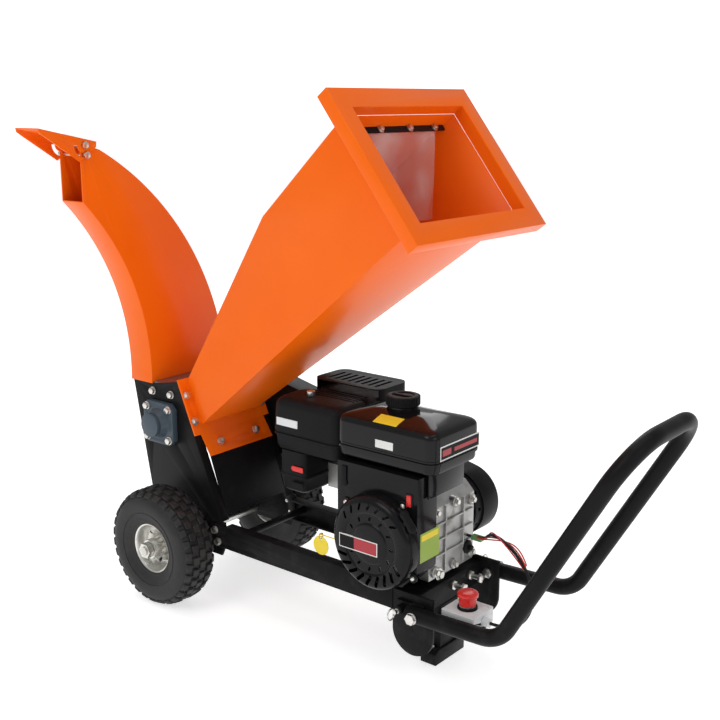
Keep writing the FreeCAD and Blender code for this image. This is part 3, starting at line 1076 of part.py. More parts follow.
def muffler():
    """The exhaust box with its outlet pipe, and the perforated heat guard round it."""
    x, wide = "crank_x + muffler_back", "muffler_front - muffler_back"
    deep, tall = "muffler_left - muffler_right", "muffler_high - muffler_low"
    body = rounded_block("MufflerBody", x, "muffler_right", "muffler_low", wide, deep, tall, "muffler_round")
    pipe = rod("MufflerPipe", "Z", "crank_x + barrel_back - head_long / 2", "muffler_right + 26",
               "barrel_high", "pipe_radius", "muffler_low - barrel_high")
    outer = rounded_block("GuardOuterBlock", x + " - guard_gap - guard_sheet", "muffler_right + 2",
                          "muffler_low + 6", wide + " + 2 * guard_gap + 2 * guard_sheet",
                          deep + " + guard_gap", "guard_high - muffler_low - 6", "muffler_round")
    inner = rounded_block("GuardInnerBlock", x + " - guard_gap", "muffler_right + 1", "muffler_low + 5",
                          wide + " + 2 * guard_gap", deep + " + guard_gap - guard_sheet + 1",
                          "guard_high - muffler_low - 5 - guard_sheet", "muffler_round - guard_sheet")
    slots = [box("GuardSlot%d" % i, x + " + 14 + %d * guard_slot_pitch" % i, "muffler_right + 22",
                 "guard_high - guard_sheet - 1", "guard_slot_wide", deep + " - 40", "guard_sheet + 2")
             for i in range(int(SIZES["guard_slots"]))]
    stays = [box("GuardStay%d" % i, x + " + 30 + %d * (%s - 76)" % (i, wide), "muffler_left",
                 "muffler_low + 30", "16", "guard_gap - guard_sheet + 2", "40") for i in (0, 1)]
    node("muffler_guard", cut("MufflerGuard", outer, inner, *slots))
    wall = "muffler_wall"
    room = rounded_block("MufflerRoom", "%s + %s" % (x, wall), "muffler_right + " + wall,
                         "muffler_low + " + wall,
                         "%s - 2 * %s" % (wide, wall), "%s - 2 * %s" % (deep, wall),
                         "%s - 2 * %s" % (tall, wall),
                         "muffler_round - " + wall)
    node("muffler", cut("Muffler", fuse("MufflerWhole", body, pipe, *stays), room))


# ---------------------------------------------------------------- tow handle
def filleted_path(points, radii):
    """Straight runs joined by tangent arcs, as one wire."""
    edges = []
    start = points[0]
    for before, corner, after, radius in zip(points, points[1:], points[2:], radii):
        inward, outward = (before - corner).normalize(), (after - corner).normalize()
        half_turn = (math.pi - inward.getAngle(outward)) / 2
        back = radius * math.tan(half_turn)
        enter, leave = corner + inward * back, corner + outward * back
        bisector = (inward + outward).normalize()
        middle = corner + bisector * (radius / math.cos(half_turn) - radius)
        edges.append(Part.LineSegment(start, enter).toShape())
        edges.append(Part.Arc(enter, middle, leave).toShape())
        start = leave
    edges.append(Part.LineSegment(start, points[-1]).toShape())
    return Part.Wire(edges)


def tube_along(path, radius, bore=0):
    """A round tube or bar swept along a path."""
    start, direction = path.Edges[0].firstVertex().Point, path.Edges[0].tangentAt(0)
    solid = path.makePipeShell([Part.Wire(Part.makeCircle(radius, start, direction))], True, True)
    if bore:
        hollow = path.makePipeShell([Part.Wire(Part.makeCircle(bore, start, direction))], True, True)
        solid = solid.cut(hollow)
    return solid


def handle():
    """One bent tube with two arms; lugs, plunger housings and the stop-box plate are welded to it."""
    side = num("arm_y")
    plan = [("pivot_x - arm_tail", "pivot_level - 1"), ("bend_forward", "bend_level_low"),
            ("grip_forward_x", "grip_level")]
    near = [V(num(x), -side, num(z)) for x, z in plan]
    far = [V(num(x), side, num(z)) for x, z in reversed(plan)]
    low_bend, high_bend = num("bend_round"), num("grip_round")
    path = filleted_path(near + far, [low_bend, high_bend, high_bend, low_bend])
    tube = doc.addObject("Part::Feature", "HandleBar")
    tube.Shape = tube_along(path, num("arm_radius"), num("arm_radius - arm_wall"))
    bore = [rod("PivotBore" + key, "Y", "pivot_x", y, "pivot_level", "pivot_radius + bearing_fit",
                "2 * arm_radius + 2")
            for key, y in (("L", "arm_y - arm_radius - 1"), ("R", "-arm_y - arm_radius - 1"))]
    lug = box("Lug", "pivot_x - lug_back", "bracket_face + lug_gap", "pivot_level - lug_half",
              "lug_back + 6", "lug_wall", "2 * lug_half")
    housing_y = "bracket_face + lug_gap + lug_wall"
    barrel = rod("PinHousing", "Y", "pivot_x - pin_back", housing_y, "pivot_level", "pin_housing",
                 "pin_housing_long")
    lug = cut("LugDrilled", fuse("LugWelded", lug, barrel), *holes(
        "LugHole", "Y", [("pivot_x - pin_back", "bracket_face + lug_gap", "pivot_level")],
        "lug_wall + pin_housing_long", "pin_radius + bearing_fit"), rod(
        "LugPivot", "Y", "pivot_x", "bracket_face", "pivot_level", "pivot_radius + bearing_fit",
        "2 * arm_radius"))
    plate = box("StopPlate", "stop_back - 4", "-arm_y + arm_radius - 4", "stop_low - stop_plate",
                "stop_front - stop_back + 8", "stop_wide - 6", "stop_plate")
    node("handle_tube", fuse("HandleTube", cut("HandleDrilled", tube, *bore), lug,
                             mirrored("LugOther", lug), plate))
    head_y = "arm_y + arm_radius + pivot_gap"
    stem = rod("PivotPin", "Y", "pivot_x", "bracket_in", "pivot_level", "pivot_radius",
               head_y + " - bracket_in")
    head = hexagon("PivotHead", "Y", "pivot_x", head_y, "pivot_level", "pivot_across", "bolt_head + 2")
    washer = rod("PivotWasher", "Y", "pivot_x", head_y, "pivot_level", "pivot_across / 2 + 2", "2")
    nut = hexagon("PivotNut", "Y", "pivot_x", "bracket_in - bolt_head", "pivot_level", "pivot_across",
                  "bolt_head")
    stub = rod("PivotStub", "Y", "pivot_x", "bracket_in - bolt_head", "pivot_level", "pivot_radius",
               "bolt_head")
    bolt = fuse("PivotBolt", stem, head, washer, nut, stub)
    FIXINGS.extend(both_sides([bolt]))
    tip = "bracket_face + pin_tip_gap"
    pin = rod("LockPin", "Y", "pivot_x - pin_back", tip, "pivot_level", "pin_radius",
              "lug_gap + lug_wall + pin_housing_long + pin_out")
    shaft = rod("LockShaft", "Y", "pivot_x - pin_back",
                tip + " + lug_gap + lug_wall + pin_housing_long + pin_out", "pivot_level",
                "pin_shaft_radius", "pin_shaft_long")
    ring_y = (tip + " + lug_gap + lug_wall + pin_housing_long + pin_out + pin_shaft_long"
              " + pull_ring_radius - pull_ring_wire")
    ring = torus("PullRing", "X", "pivot_x - pin_back", ring_y, "pivot_level", "pull_ring_radius",
                 "pull_ring_wire")
    pin = fuse("LockPinWhole", pin, shaft, ring)
    node("lock_pin_left", pin)
    node("lock_pin_right", mirrored("LockPinOther", pin))


def stop_box():
    """The emergency stop: box, lid, gland, stem and the red mushroom head."""
    wide = "stop_front - stop_back"
    base = rounded_block("StopBase", "stop_back", "stop_right", "stop_low", wide, "stop_wide", "stop_high",
                         "stop_round")
    lid = rounded_block("StopLid", "stop_back", "stop_right", "stop_low + stop_high", wide, "stop_wide",
                        "stop_lid", "stop_round")
    well = rod("StopWell", "Z", "stop_x", "stop_y", "stop_low + stem_foot - 1", "stem_radius + stem_clear",
               "stop_high + stop_lid + collar_high + 20")
    collar = rod("StopCollar", "Z", "stop_x", "stop_y", "stop_top", "collar_radius", "collar_high")
    stem = rod("StopStem", "Z", "stop_x", "stop_y", "stop_low + stem_foot + 9", "stem_radius",
               "stop_top - stop_low - stem_foot - 9 + collar_high + button_gap")
    node("stop_stem", stem)
    start = "stop_top + collar_high + button_gap"
    neck = rod("StopNeck", "Z", "stop_x", "stop_y", start, "button_radius - 5", "button_high / 2")
    head = rod("StopHead", "Z", "stop_x", "stop_y", start + " + button_high / 2", "button_radius",
               "button_high / 2")
    node("stop_button", fuse("StopButton", neck, head))
    gland = hexagon("GlandNut", "X", "stop_front", "gland_side", "gland_level", "gland_across", "gland_long")
    node("stop_box", fuse("StopBoxGland", cut("StopBaseCut", base, well), gland))
    screws = [rod("LidScrew%d%d" % (i, j), "Z", "%s %s lid_screw_in" % (x, sx), "%s %s lid_screw_in" % (y,
                                                                                                        sy),
                  "stop_top", "screw_radius", "screw_head")
              for i, (x, sx) in enumerate((("stop_back", "+"), ("stop_front", "-")))
              for j, (y, sy) in enumerate((("stop_right", "+"), ("stop_right + stop_wide", "-")))]
    node("stop_lid", group("StopLidScrews", cut("StopLidCut", fuse("StopLidWhole", lid, collar), well),
                           *screws))


# The cable's corners: out of the gland, forward and up in a loop, then back to the engine.
CABLE_ROUTE = [("stop_front + gland_long", "gland_side", "gland_level"), (207, -82, "gland_level"),
               (244, -76, 194), (232, -62, 248), (186, -40, 280), (132, -8, 286), (84, 30, 270),
               (46, 72, 234), ("crank_x + case_front", 72, 234)]


def bend_radii(route):
    """Each arc takes up a fixed share of the shorter of its two runs."""
    radii = []
    for before, corner, after in zip(route, route[1:], route[2:]):
        inward, outward = before - corner, after - corner
        half_turn = (math.pi - inward.getAngle(outward)) / 2
        radii.append(SIZES["bend_share"] * min(inward.Length, outward.Length) / math.tan(half_turn))
    return radii


def stop_cable():
    """The free cable from the box's gland up and back to a plug on the engine's front."""
    route = [V(num(x), num(y), num(z)) for x, y, z in CABLE_ROUTE]
    radii = bend_radii(route)
    path = filleted_path(route, radii)
    cable = doc.addObject("Part::Feature", "StopCable")
    cable.Shape = tube_along(path, num("cable_radius"))
    section = math.pi * num("cable_radius") ** 2
    print("cable: length %.1f, section x length %.0f, volume %.0f, radii %s" % (
        path.Length, section * path.Length, cable.Shape.Volume, ["%.1f" % radius for radius in radii]))
    node("stop_cable", cable)


def hang_tag():
    """A round tag hung by a ring from a wire hook on the fan shroud."""
    disc = rod("TagDisc", "Y", "tag_x", "tag_y - tag_wall / 2", "tag_level", "tag_radius", "tag_wall")
    eye_level = "tag_level + tag_radius - tag_eye_in"
    eye = rod("TagEye", "Y", "tag_x", "tag_y - tag_wall / 2 - cut_over", eye_level, "tag_eye",
              "tag_wall + 2 * cut_over")
    ring = torus("TagRing", "X", "tag_x", "tag_y", eye_level + " + tag_ring", "tag_ring", "tag_wire")
    hook_level = eye_level + " + 2 * tag_ring - 2 * tag_wire - tag_slack"
    wire = rod("TagHook", "X", "tag_x - tag_hook_over", "tag_y", hook_level, "tag_wire",
               "crank_x + shroud_back - tag_x + tag_hook_over")
    node("hang_tag", group("HangTag", cut("TagCut", disc, eye), ring, wire))


# ---------------------------------------------------------------- fasteners and small parts
def fasteners():
    """The bolts of the rails, side plates, hopper and belt tension join those made with their parts."""
    rail = bolts("RailBolt", "Y", [(x, "rail_face", z) for x, z in RAIL_BOLTS], "rail_web + plate_wall",
                 flip=True)
    side = bolts("SideBolt", "Y", [(x, "side_face", z) for x, z in SIDE_BOLTS], "plate_wall", flip=True)
    FIXINGS.extend(both_sides(rail + side))
    FIXINGS.extend(leaning_bolts("LipBolt", LIP_LEAN, LIP_BOLTS))
    FIXINGS.extend(leaning_bolts("FlangeBolt", "front_lean", FLANGE_BOLTS))
    start = "rail_front + cross_long"
    for i in (0, 1):
        y = "tension_first + %d * tension_pitch" % i
        key = "Tension%d" % i
        stud = rod(key + "Stud", "X", start, y, "tension_level", "tension_radius", "tension_out")
        nut = hexagon(key + "Nut", "X", start, y, "tension_level", "tension_across", "bolt_head")
        head = hexagon(key + "Head", "X", "%s + tension_out" % start, y, "tension_level", "tension_across",
                       "bolt_head")
        FIXINGS.append(fuse(key, stud, nut, head))
    node("frame_bolts", group("FrameBolts", *FIXINGS))


def write_parts():
    """Check every object and every node, then write one file for each node."""
    doc.recompute()
    for obj in doc.Objects:
        if {"Invalid", "Error"} & set(obj.State):
            raise RuntimeError("%s is %s" % (obj.Name, obj.State))
    for label, obj in NODES.items():
        shape = obj.Shape
        if shape.isNull() or not shape.isValid() or not shape.Solids:
            raise RuntimeError("the shape of %s is not sound" % label)
    os.makedirs("parts", exist_ok=True)
    for label, obj in NODES.items():
        obj.Shape.exportStep("parts/%s.step" % label)
        print("%-20s %2d solid(s) %12.0f mm3" % (label, len(obj.Shape.Solids), obj.Shape.Volume))


wheels()
axle()
frame()
brackets()
front_foot()
housing()
casing()
rotor()
belts()
guard()
chute()
hood()
hopper()
curtain()
engine()
cowling()
tank()
air_cleaner()
muffler()
handle()
stop_box()
stop_cable()
hang_tag()
fasteners()
write_parts()
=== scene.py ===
# %% [markdown]
# # A towed wood chipper
#
# The machine feeds branches down a sloping hopper to a knife drum, and a bowed chute throws the chips out
# sideways. A small petrol engine on the frame in front turns the drum by belts. The measured frame gives
# every piece its place in metres, with +X towards the tow handle, +Y to the machine's left and +Z up.

# %% Open the measured frame
import json
import math

import bmesh
import bpy
from mathutils import Matrix, Vector, noise

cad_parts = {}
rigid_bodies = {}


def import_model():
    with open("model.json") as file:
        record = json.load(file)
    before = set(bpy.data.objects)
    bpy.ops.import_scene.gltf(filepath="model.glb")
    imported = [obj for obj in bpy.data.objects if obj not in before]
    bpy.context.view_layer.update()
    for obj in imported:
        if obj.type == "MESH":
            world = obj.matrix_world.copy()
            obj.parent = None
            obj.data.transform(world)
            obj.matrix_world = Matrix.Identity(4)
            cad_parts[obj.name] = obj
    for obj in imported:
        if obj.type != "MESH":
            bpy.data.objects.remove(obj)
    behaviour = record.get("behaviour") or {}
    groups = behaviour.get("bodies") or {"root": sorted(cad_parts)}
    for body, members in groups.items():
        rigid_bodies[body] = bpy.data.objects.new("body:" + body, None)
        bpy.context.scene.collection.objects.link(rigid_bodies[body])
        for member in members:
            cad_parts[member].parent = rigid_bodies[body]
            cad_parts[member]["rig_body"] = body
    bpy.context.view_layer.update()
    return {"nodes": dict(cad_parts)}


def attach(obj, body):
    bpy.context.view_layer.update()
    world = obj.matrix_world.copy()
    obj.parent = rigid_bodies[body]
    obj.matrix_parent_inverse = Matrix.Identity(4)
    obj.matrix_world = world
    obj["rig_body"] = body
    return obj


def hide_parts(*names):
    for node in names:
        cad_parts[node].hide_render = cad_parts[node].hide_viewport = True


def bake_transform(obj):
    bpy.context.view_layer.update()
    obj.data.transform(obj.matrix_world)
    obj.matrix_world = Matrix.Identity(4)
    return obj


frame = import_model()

NODES = frame["nodes"]

# %% [markdown]
# ## Three small helpers
#
# Every piece is made in three steps: build its mesh, place an object that holds it, and read the final mesh
# back once modifiers have worked on it.


# %% Make a mesh, place it and read it back
def as_mesh(name, shape):
    mesh = bpy.data.meshes.new(name)
    shape.to_mesh(mesh)
    shape.free()
    return mesh


def placed(name, data):
    piece = bpy.data.objects.new(name, data)
    bpy.context.scene.collection.objects.link(piece)
    return piece


def final_mesh(holder):
    graph = bpy.context.evaluated_depsgraph_get()
    return bpy.data.meshes.new_from_object(holder.evaluated_get(graph))


# %% [markdown]
# ## Camera
#
# The view looks at the tow handle's side from head height, a little down, with a slightly long lens. The
# camera comes first because the free cable has to lie inside its view. It is turned by its three axes.

# %% Aim the camera
TURN_ROUND, LOOK_DOWN = math.radians(38.98), math.radians(13.385)
EYE, LENS, SENSOR = (1.130, -1.660, 1.084), 54.6, 36
forward = Vector((-math.sin(TURN_ROUND) * math.cos(LOOK_DOWN), math.cos(TURN_ROUND) * math.cos(LOOK_DOWN),
                  -math.sin(LOOK_DOWN)))
right = Vector((math.cos(TURN_ROUND), math.sin(TURN_ROUND), 0))
camera = placed("camera", bpy.data.cameras.new("camera"))
axes = Matrix((right, right.cross(forward), -forward)).transposed()
camera.matrix_world = Matrix.Translation(EYE) @ axes.to_4x4()
camera.data.lens, camera.data.sensor_width = LENS, SENSOR
bpy.context.scene.camera = camera
print("camera at", [round(c, 3) for c in camera.location])

# %% [markdown]
# ## Shader sums
#
# A finish is a recipe of small sums: a little more grey where dust settles, a little rougher where hands
# rub. `Wire` wraps one socket so that such a sum can be written as it is read, and each operator adds its
# node.


# %% A socket that can be added and multiplied
class Wire:
    def __init__(self, finish, socket):
        self.finish, self.socket = finish, socket

    def math(self, operation, first, second):
        return self.finish.node("ShaderNodeMath", dict(operation=operation), {0: first, 1: second})

    def __add__(self, other):
        return self.math("ADD", self, other)

    def __sub__(self, other):
        return self.math("SUBTRACT", self, other)

    def __rsub__(self, other):
        return self.math("SUBTRACT", other, self)

    def __mul__(self, other):
        return self.math("MULTIPLY", self, other)

    __radd__, __rmul__ = __add__, __mul__


# %% [markdown]
# ## One class for every finish
#
# A finish starts from the Principled shader. Numbers that are the same all over go straight on its sockets,
# and `node` adds any other node from its type, settings and inputs. The helpers below it are the patterns
# that painted, cast and moulded surfaces share: fine grain, soft clouds and a dusty lower part.


# %% The finish builder
class Finish:
    def __init__(self, name, **fixed):
        self.material = bpy.data.materials.new(name)
        self.material.use_nodes = True
        self.tree = self.material.node_tree
        self.shader = self.tree.nodes["Principled BSDF"]
        for socket, value in fixed.items():
            self.shader.inputs[socket.replace("_", " ")].default_value = value
        self.place = self.node("ShaderNodeTexCoord", {}, {}, "Object")

    def node(self, kind, settings, values, output=0):
        made = self.tree.nodes.new(kind)
        for key, value in settings.items():
            setattr(made, key, value)
        for key, value in values.items():
            if isinstance(value, Wire):
                self.tree.links.new(value.socket, made.inputs[key])
            else:
                made.inputs[key].default_value = value
        return Wire(self, made.outputs[output])

    def grain(self, scale, detail=2.0, stretch=None):
        place = self.place
        if stretch:
            place = self.node("ShaderNodeMapping", {}, {"Vector": place, "Scale": stretch})
        return self.node("ShaderNodeTexNoise", {}, {"Vector": place, "Scale": scale, "Detail": detail})

    def step(self, value, low, high):
        """0 below low, 1 above high, smooth between."""
        return self.node("ShaderNodeMapRange", dict(interpolation_type="SMOOTHSTEP"),
                         {"Value": value, "From Min": low, "From Max": high})

    def blend(self, share, low, high):
        return self.node("ShaderNodeMix", dict(data_type="RGBA"), {0: share, 6: low, 7: high}, 2)

    def height(self):
        return self.node("ShaderNodeSeparateXYZ", {}, {0: self.place}, 2)

    def facing(self):
        """How far a surface faces up, from -1 to 1."""
        normal = self.node("ShaderNodeNewGeometry", {}, {}, "Normal")
        return self.node("ShaderNodeSeparateXYZ", {}, {0: normal}, 2)

    def feed(self, **wires):
        for socket, wire in wires.items():
            self.tree.links.new(wire.socket, self.shader.inputs[socket.replace("_", " ")])
        return self

    def bumpy(self, height, distance, strength=1.0):
        return self.feed(Normal=self.node("ShaderNodeBump", {}, {
            "Height": height, "Distance": distance, "Strength": strength}))


def rgb(red, green, blue):
    return (red, green, blue, 1.0)


# %% [markdown]
# ## Painted metal
#
# The hopper, chute and hood wear a glossy orange powder coat, and the frame a satin black one. Powder coat
# has a faint orange-peel skin from the melted grains, so a fine low bump breaks its reflections. Dust lies
# on what faces up and near the ground, which lifts the colour and the roughness together.


# %% Powder coats
DUST = rgb(0.34, 0.30, 0.25)


def powder_coat(name, deep, light, rough, dusty, coat, peel=0.00006, shine=0.5):
    paint = Finish(name, IOR=1.5, Coat_Roughness=0.12, Coat_Weight=coat, Specular_IOR_Level=shine)
    cloud, fine = paint.grain(7.0, 4.0), paint.grain(900.0, 1.0)
    low = 1.0 - paint.step(paint.height(), 0.0, 0.34)
    film = (paint.step(paint.grain(38.0, 5.0), 0.45,
                       0.80) * (low * 0.8 + paint.step(paint.facing(), 0.2, 1.0) * 0.35)
            * dusty)
    rubbed = paint.step(paint.grain(60.0, 6.0, (1.0, 1.0, 0.12)), 0.60, 0.78)
    paint.feed(Base_Color=paint.blend(film, paint.blend(cloud, deep, light), DUST),
               Roughness=film * 0.5 + rubbed * 0.10 + cloud * 0.08 + rough)
    return paint.bumpy(fine + cloud * 0.6, peel).material


orange_coat = powder_coat("orange_coat", rgb(0.88, 0.128, 0.003), rgb(0.96, 0.158, 0.004), 0.26, 0.03, 0.06,
                          0.00006, 0.16)
black_coat = powder_coat("black_coat", rgb(0.005, 0.005, 0.006), rgb(0.010, 0.010, 0.011), 0.36, 0.07, 0.0,
                         0.00006, 0.09)
bearing_coat = powder_coat("bearing_coat", rgb(0.035, 0.055, 0.075), rgb(0.065, 0.090, 0.115), 0.36, 0.2,
                           0.05, 0.0002, 0.3)

# %% [markdown]
# ## Moulded and enamelled black
#
# The engine's covers are gloss black: pressed steel under enamel on the tank and recoil cover, moulded
# plastic on the air cleaner. Gloss shows handling first, so a large soft cloud and fine hairlines vary the
# roughness while the colour hardly changes.


# %% Gloss and satin blacks, and the coloured plastics
def moulded(name, colour, rough, spread=0.10, bump=0.00003, scale=700.0, coat=0.0, dusty=0.25, shine=0.5):
    skin = Finish(name, IOR=1.48, Coat_Weight=coat, Coat_Roughness=0.06, Specular_IOR_Level=shine)
    cloud, hair = skin.grain(14.0, 5.0), skin.grain(220.0, 3.0, (1.0, 0.08, 1.0))
    settled = skin.step(skin.facing(), 0.3, 1.0) * skin.step(skin.grain(90.0, 4.0), 0.5, 0.8) * dusty
    paler = tuple(min(1.0, part * 1.25 + 0.004) for part in colour[:3]) + (1.0,)
    skin.feed(Base_Color=skin.blend(settled * 0.3, skin.blend(cloud, colour, paler), DUST),
              Roughness=cloud * spread + hair * 0.05 + settled * 0.4 + rough)
    return skin.bumpy(skin.grain(scale, 2.0), bump).material


gloss_black = moulded("gloss_black", rgb(0.004, 0.004, 0.005), 0.12, 0.10, 0.00003, 260.0, 0.06, 0.08, 0.14)
satin_black = moulded("satin_black", rgb(0.007, 0.007, 0.008), 0.36, 0.12, 0.00008, 1400.0, 0.0, 0.10, 0.09)
tank_black = moulded("tank_black", rgb(0.004, 0.004, 0.005), 0.06, 0.07, 0.00002, 120.0, 0.08, 0.06, 0.18)
stop_red = moulded("stop_red", rgb(0.62, 0.012, 0.008), 0.24, 0.08, 0.00003, 900.0, 0.2)
box_grey = moulded("box_grey", rgb(0.62, 0.63, 0.64), 0.42, 0.10, 0.00010, 1300.0)
tag_yellow = moulded("tag_yellow", rgb(0.80, 0.62, 0.03), 0.38, 0.10)
label_white = moulded("label_white", rgb(0.66, 0.66, 0.64), 0.30, 0.08)
label_red = moulded("label_red", rgb(0.34, 0.012, 0.022), 0.28, 0.08)
label_green = moulded("label_green", rgb(0.28, 0.40, 0.05), 0.30, 0.08)
cable_black = moulded("cable_black", rgb(0.008, 0.008, 0.008), 0.45, 0.12, 0.0001, 900.0, 0.0, 0.1, 0.2)
cable_red = moulded("cable_red", rgb(0.50, 0.02, 0.015), 0.36, 0.10)
connector_green = moulded("connector_green", rgb(0.12, 0.28, 0.10), 0.36, 0.10)

# %% [markdown]
# ## Bare metals
#
# The crankcase is rough die-cast aluminium, the wheel rims and screws are bright zinc, and the shafts and
# knives are plain steel. All are metallic, and what tells them apart is the size of the grain: coarse and
# matt on the casting, cloudy on the zinc, drawn out along the work on the steel.


# %% Cast aluminium, zinc and steel
def bare_metal(name, dark, light, rough, spread, scale, bump, stretch=None, grime=0.5):
    metal = Finish(name, Metallic=1.0)
    cloud, fine = metal.grain(scale / 20.0, 5.0), metal.grain(scale, 4.0, stretch)
    stain = metal.step(metal.grain(30.0, 6.0), 0.52, 0.72) * grime
    metal.feed(Base_Color=metal.blend(stain, metal.blend(cloud, dark, light), rgb(0.16, 0.14, 0.12)),
               Roughness=fine * spread + stain * 0.25 + rough)
    return metal.bumpy(fine, bump).material


cast_aluminium = bare_metal("cast_aluminium", rgb(0.36, 0.36, 0.35), rgb(0.56, 0.56, 0.55), 0.38, 0.22, 800.0,
                            0.00020, None, 0.55)
bright_zinc = bare_metal("bright_zinc", rgb(0.58, 0.57, 0.53), rgb(0.78, 0.78, 0.75), 0.20, 0.20, 420.0,
                         0.00003,
                         None, 0.25)
plain_steel = bare_metal("plain_steel", rgb(0.30, 0.29, 0.28), rgb(0.48, 0.47, 0.46), 0.28, 0.24, 500.0,
                         0.00005,
                         (1.0, 0.1, 1.0), 0.5)
hot_steel = bare_metal("hot_steel", rgb(0.030, 0.028, 0.027), rgb(0.055, 0.052, 0.050), 0.46, 0.20, 700.0,
                       0.0001)

# %% [markdown]
# ## Rubber and clear sheet
#
# Tyre rubber is nearly black and matt, greyed by dust on the tread. The feed curtain is clear soft sheet:
# it lets most light straight through, so its alpha is low and its surface stays glossy.

# %% Rubber and the clear sheet
rubber = Finish("tyre_rubber", IOR=1.45)
worn = rubber.step(rubber.grain(26.0, 6.0), 0.40, 0.75)
rubber.feed(Base_Color=rubber.blend(worn * 0.22, rgb(0.011, 0.011, 0.012), rgb(0.10, 0.09, 0.08)),
            Roughness=worn * 0.16 + rubber.grain(180.0, 3.0) * 0.16 + 0.50)
tyre_rubber = rubber.bumpy(rubber.grain(500.0, 4.0), 0.00025).material
sheet = Finish("clear_sheet", IOR=1.48, Coat_Weight=0.6, Coat_Roughness=0.05)
haze = sheet.step(sheet.grain(9.0, 5.0), 0.35, 0.75)
sheet.feed(Base_Color=sheet.blend(haze, rgb(0.62, 0.66, 0.66), rgb(0.82, 0.84, 0.83)),
           Roughness=haze * 0.12 + 0.06, Alpha=haze * 0.22 + 0.14)
clear_sheet = sheet.bumpy(sheet.grain(45.0, 3.0), 0.0010).material
print("finishes", len(bpy.data.materials))

# %% [markdown]
# ## Handing a mesh over
#
# Each finished piece is an object at the origin with its place in its vertices. `hand_over` gives it its
# finish, lets it ride on its body, and hides the plain solid it stands for. Faces flatter than about 35
# degrees to each other are shaded as one smooth skin.


# %% Hand a piece over
SMOOTH_BELOW = 35


def hand_over(name, mesh, finish, body, stands_for=()):
    if isinstance(mesh, bmesh.types.BMesh):
        made = as_mesh(name, mesh)
        mesh = made
    if finish:
        mesh.materials.clear()
        mesh.materials.append(finish)
    mesh.shade_smooth()
    mesh.set_sharp_from_angle(angle=math.radians(SMOOTH_BELOW))
    piece = placed(name, mesh)
    if body:
        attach(piece, body)
    if stands_for:
        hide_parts(*stands_for)
    return piece


def finished(mesh, *modifiers):
    """The mesh with modifiers applied; each is a type and its settings."""
    if isinstance(mesh, bmesh.types.BMesh):
        made = as_mesh("working", mesh)
        mesh = made
    holder = placed("working", mesh)
    for kind, settings in modifiers:
        modifier = holder.modifiers.new(kind, kind)
        for key, value in settings.items():
            setattr(modifier, key, value)
    result = final_mesh(holder)
    bpy.data.objects.remove(holder)
    return result


def bevel(width, segments=2, angle=30):
    return "BEVEL", dict(width=width, segments=segments, limit_method="ANGLE", angle_limit=math.radians(angle),
                         use_clamp_overlap=True)


# %% [markdown]
# ## Edges that catch light
#
# Folded sheet, welded box and cast parts never have knife edges: a bend keeps a radius of about its
# thickness, and paint rounds what is left. So each flat-faced solid is copied, its triangles are joined
# back to flat faces, and every edge gets a narrow bevel that catches a line of light.


# %% Soften the flat-faced solids
SAME_PLACE, SAME_PLANE = 0.00002, 1.0


def softened(name, finish, width=0.0010, segments=2):
    body = NODES[name]["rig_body"]
    work = bmesh.new()
    work.from_mesh(NODES[name].data)
    bmesh.ops.remove_doubles(work, verts=work.verts, dist=SAME_PLACE)
    bmesh.ops.dissolve_limit(work, angle_limit=math.radians(SAME_PLANE), verts=work.verts, edges=work.edges)
    return hand_over(name + "_soft", finished(work, bevel(width, segments)), finish, body, (name,))


for name in ("hopper", "hopper_rim", "chute", "chute_hood"):
    softened(name, orange_coat, 0.0011)
for name in ("side_rails", "engine_deck", "cross_members", "handle_brackets", "foot_pad", "rotor_side_left",
             "rotor_side_right", "front_panel", "curtain_bar"):
    softened(name, black_coat, 0.0009)
for name in ("belt_guard", "belt_guard_back"):
    softened(name, black_coat, 0.0030, 3)
softened("bearing_units", bearing_coat, 0.0016)
softened("frame_bolts", bright_zinc, 0.0007)
for name in ("rotor_casing", "bed_knife", "rotor_knives"):
    NODES[name].data.materials.clear()
    NODES[name].data.materials.append(plain_steel)


def repaint(finish, *names):
    for name in names:
        NODES[name].data.materials.clear()
        NODES[name].data.materials.append(finish)


repaint(plain_steel, "rotor_drum", "rotor_pulley", "engine_pulley", "crankshaft", "stop_stem")
repaint(bright_zinc, "axle", "lock_pin_left", "lock_pin_right")
repaint(black_coat, "handle_tube")
repaint(cable_black, "drive_belts")
repaint(satin_black, "clutch_cover")
repaint(cast_aluminium, "flywheel", "carburettor")
print("softened and repainted")

# %% [markdown]
# ## Trees that repeat a piece
#
# Tread blocks, cooling fins, ribs, slots and screws all repeat one small piece. Two trees of geometry nodes
# do it: one sets copies round a circle about its own Y axis, the other along a straight row. Each takes the
# small piece as its input and ends by making the copies real and giving them their finish.


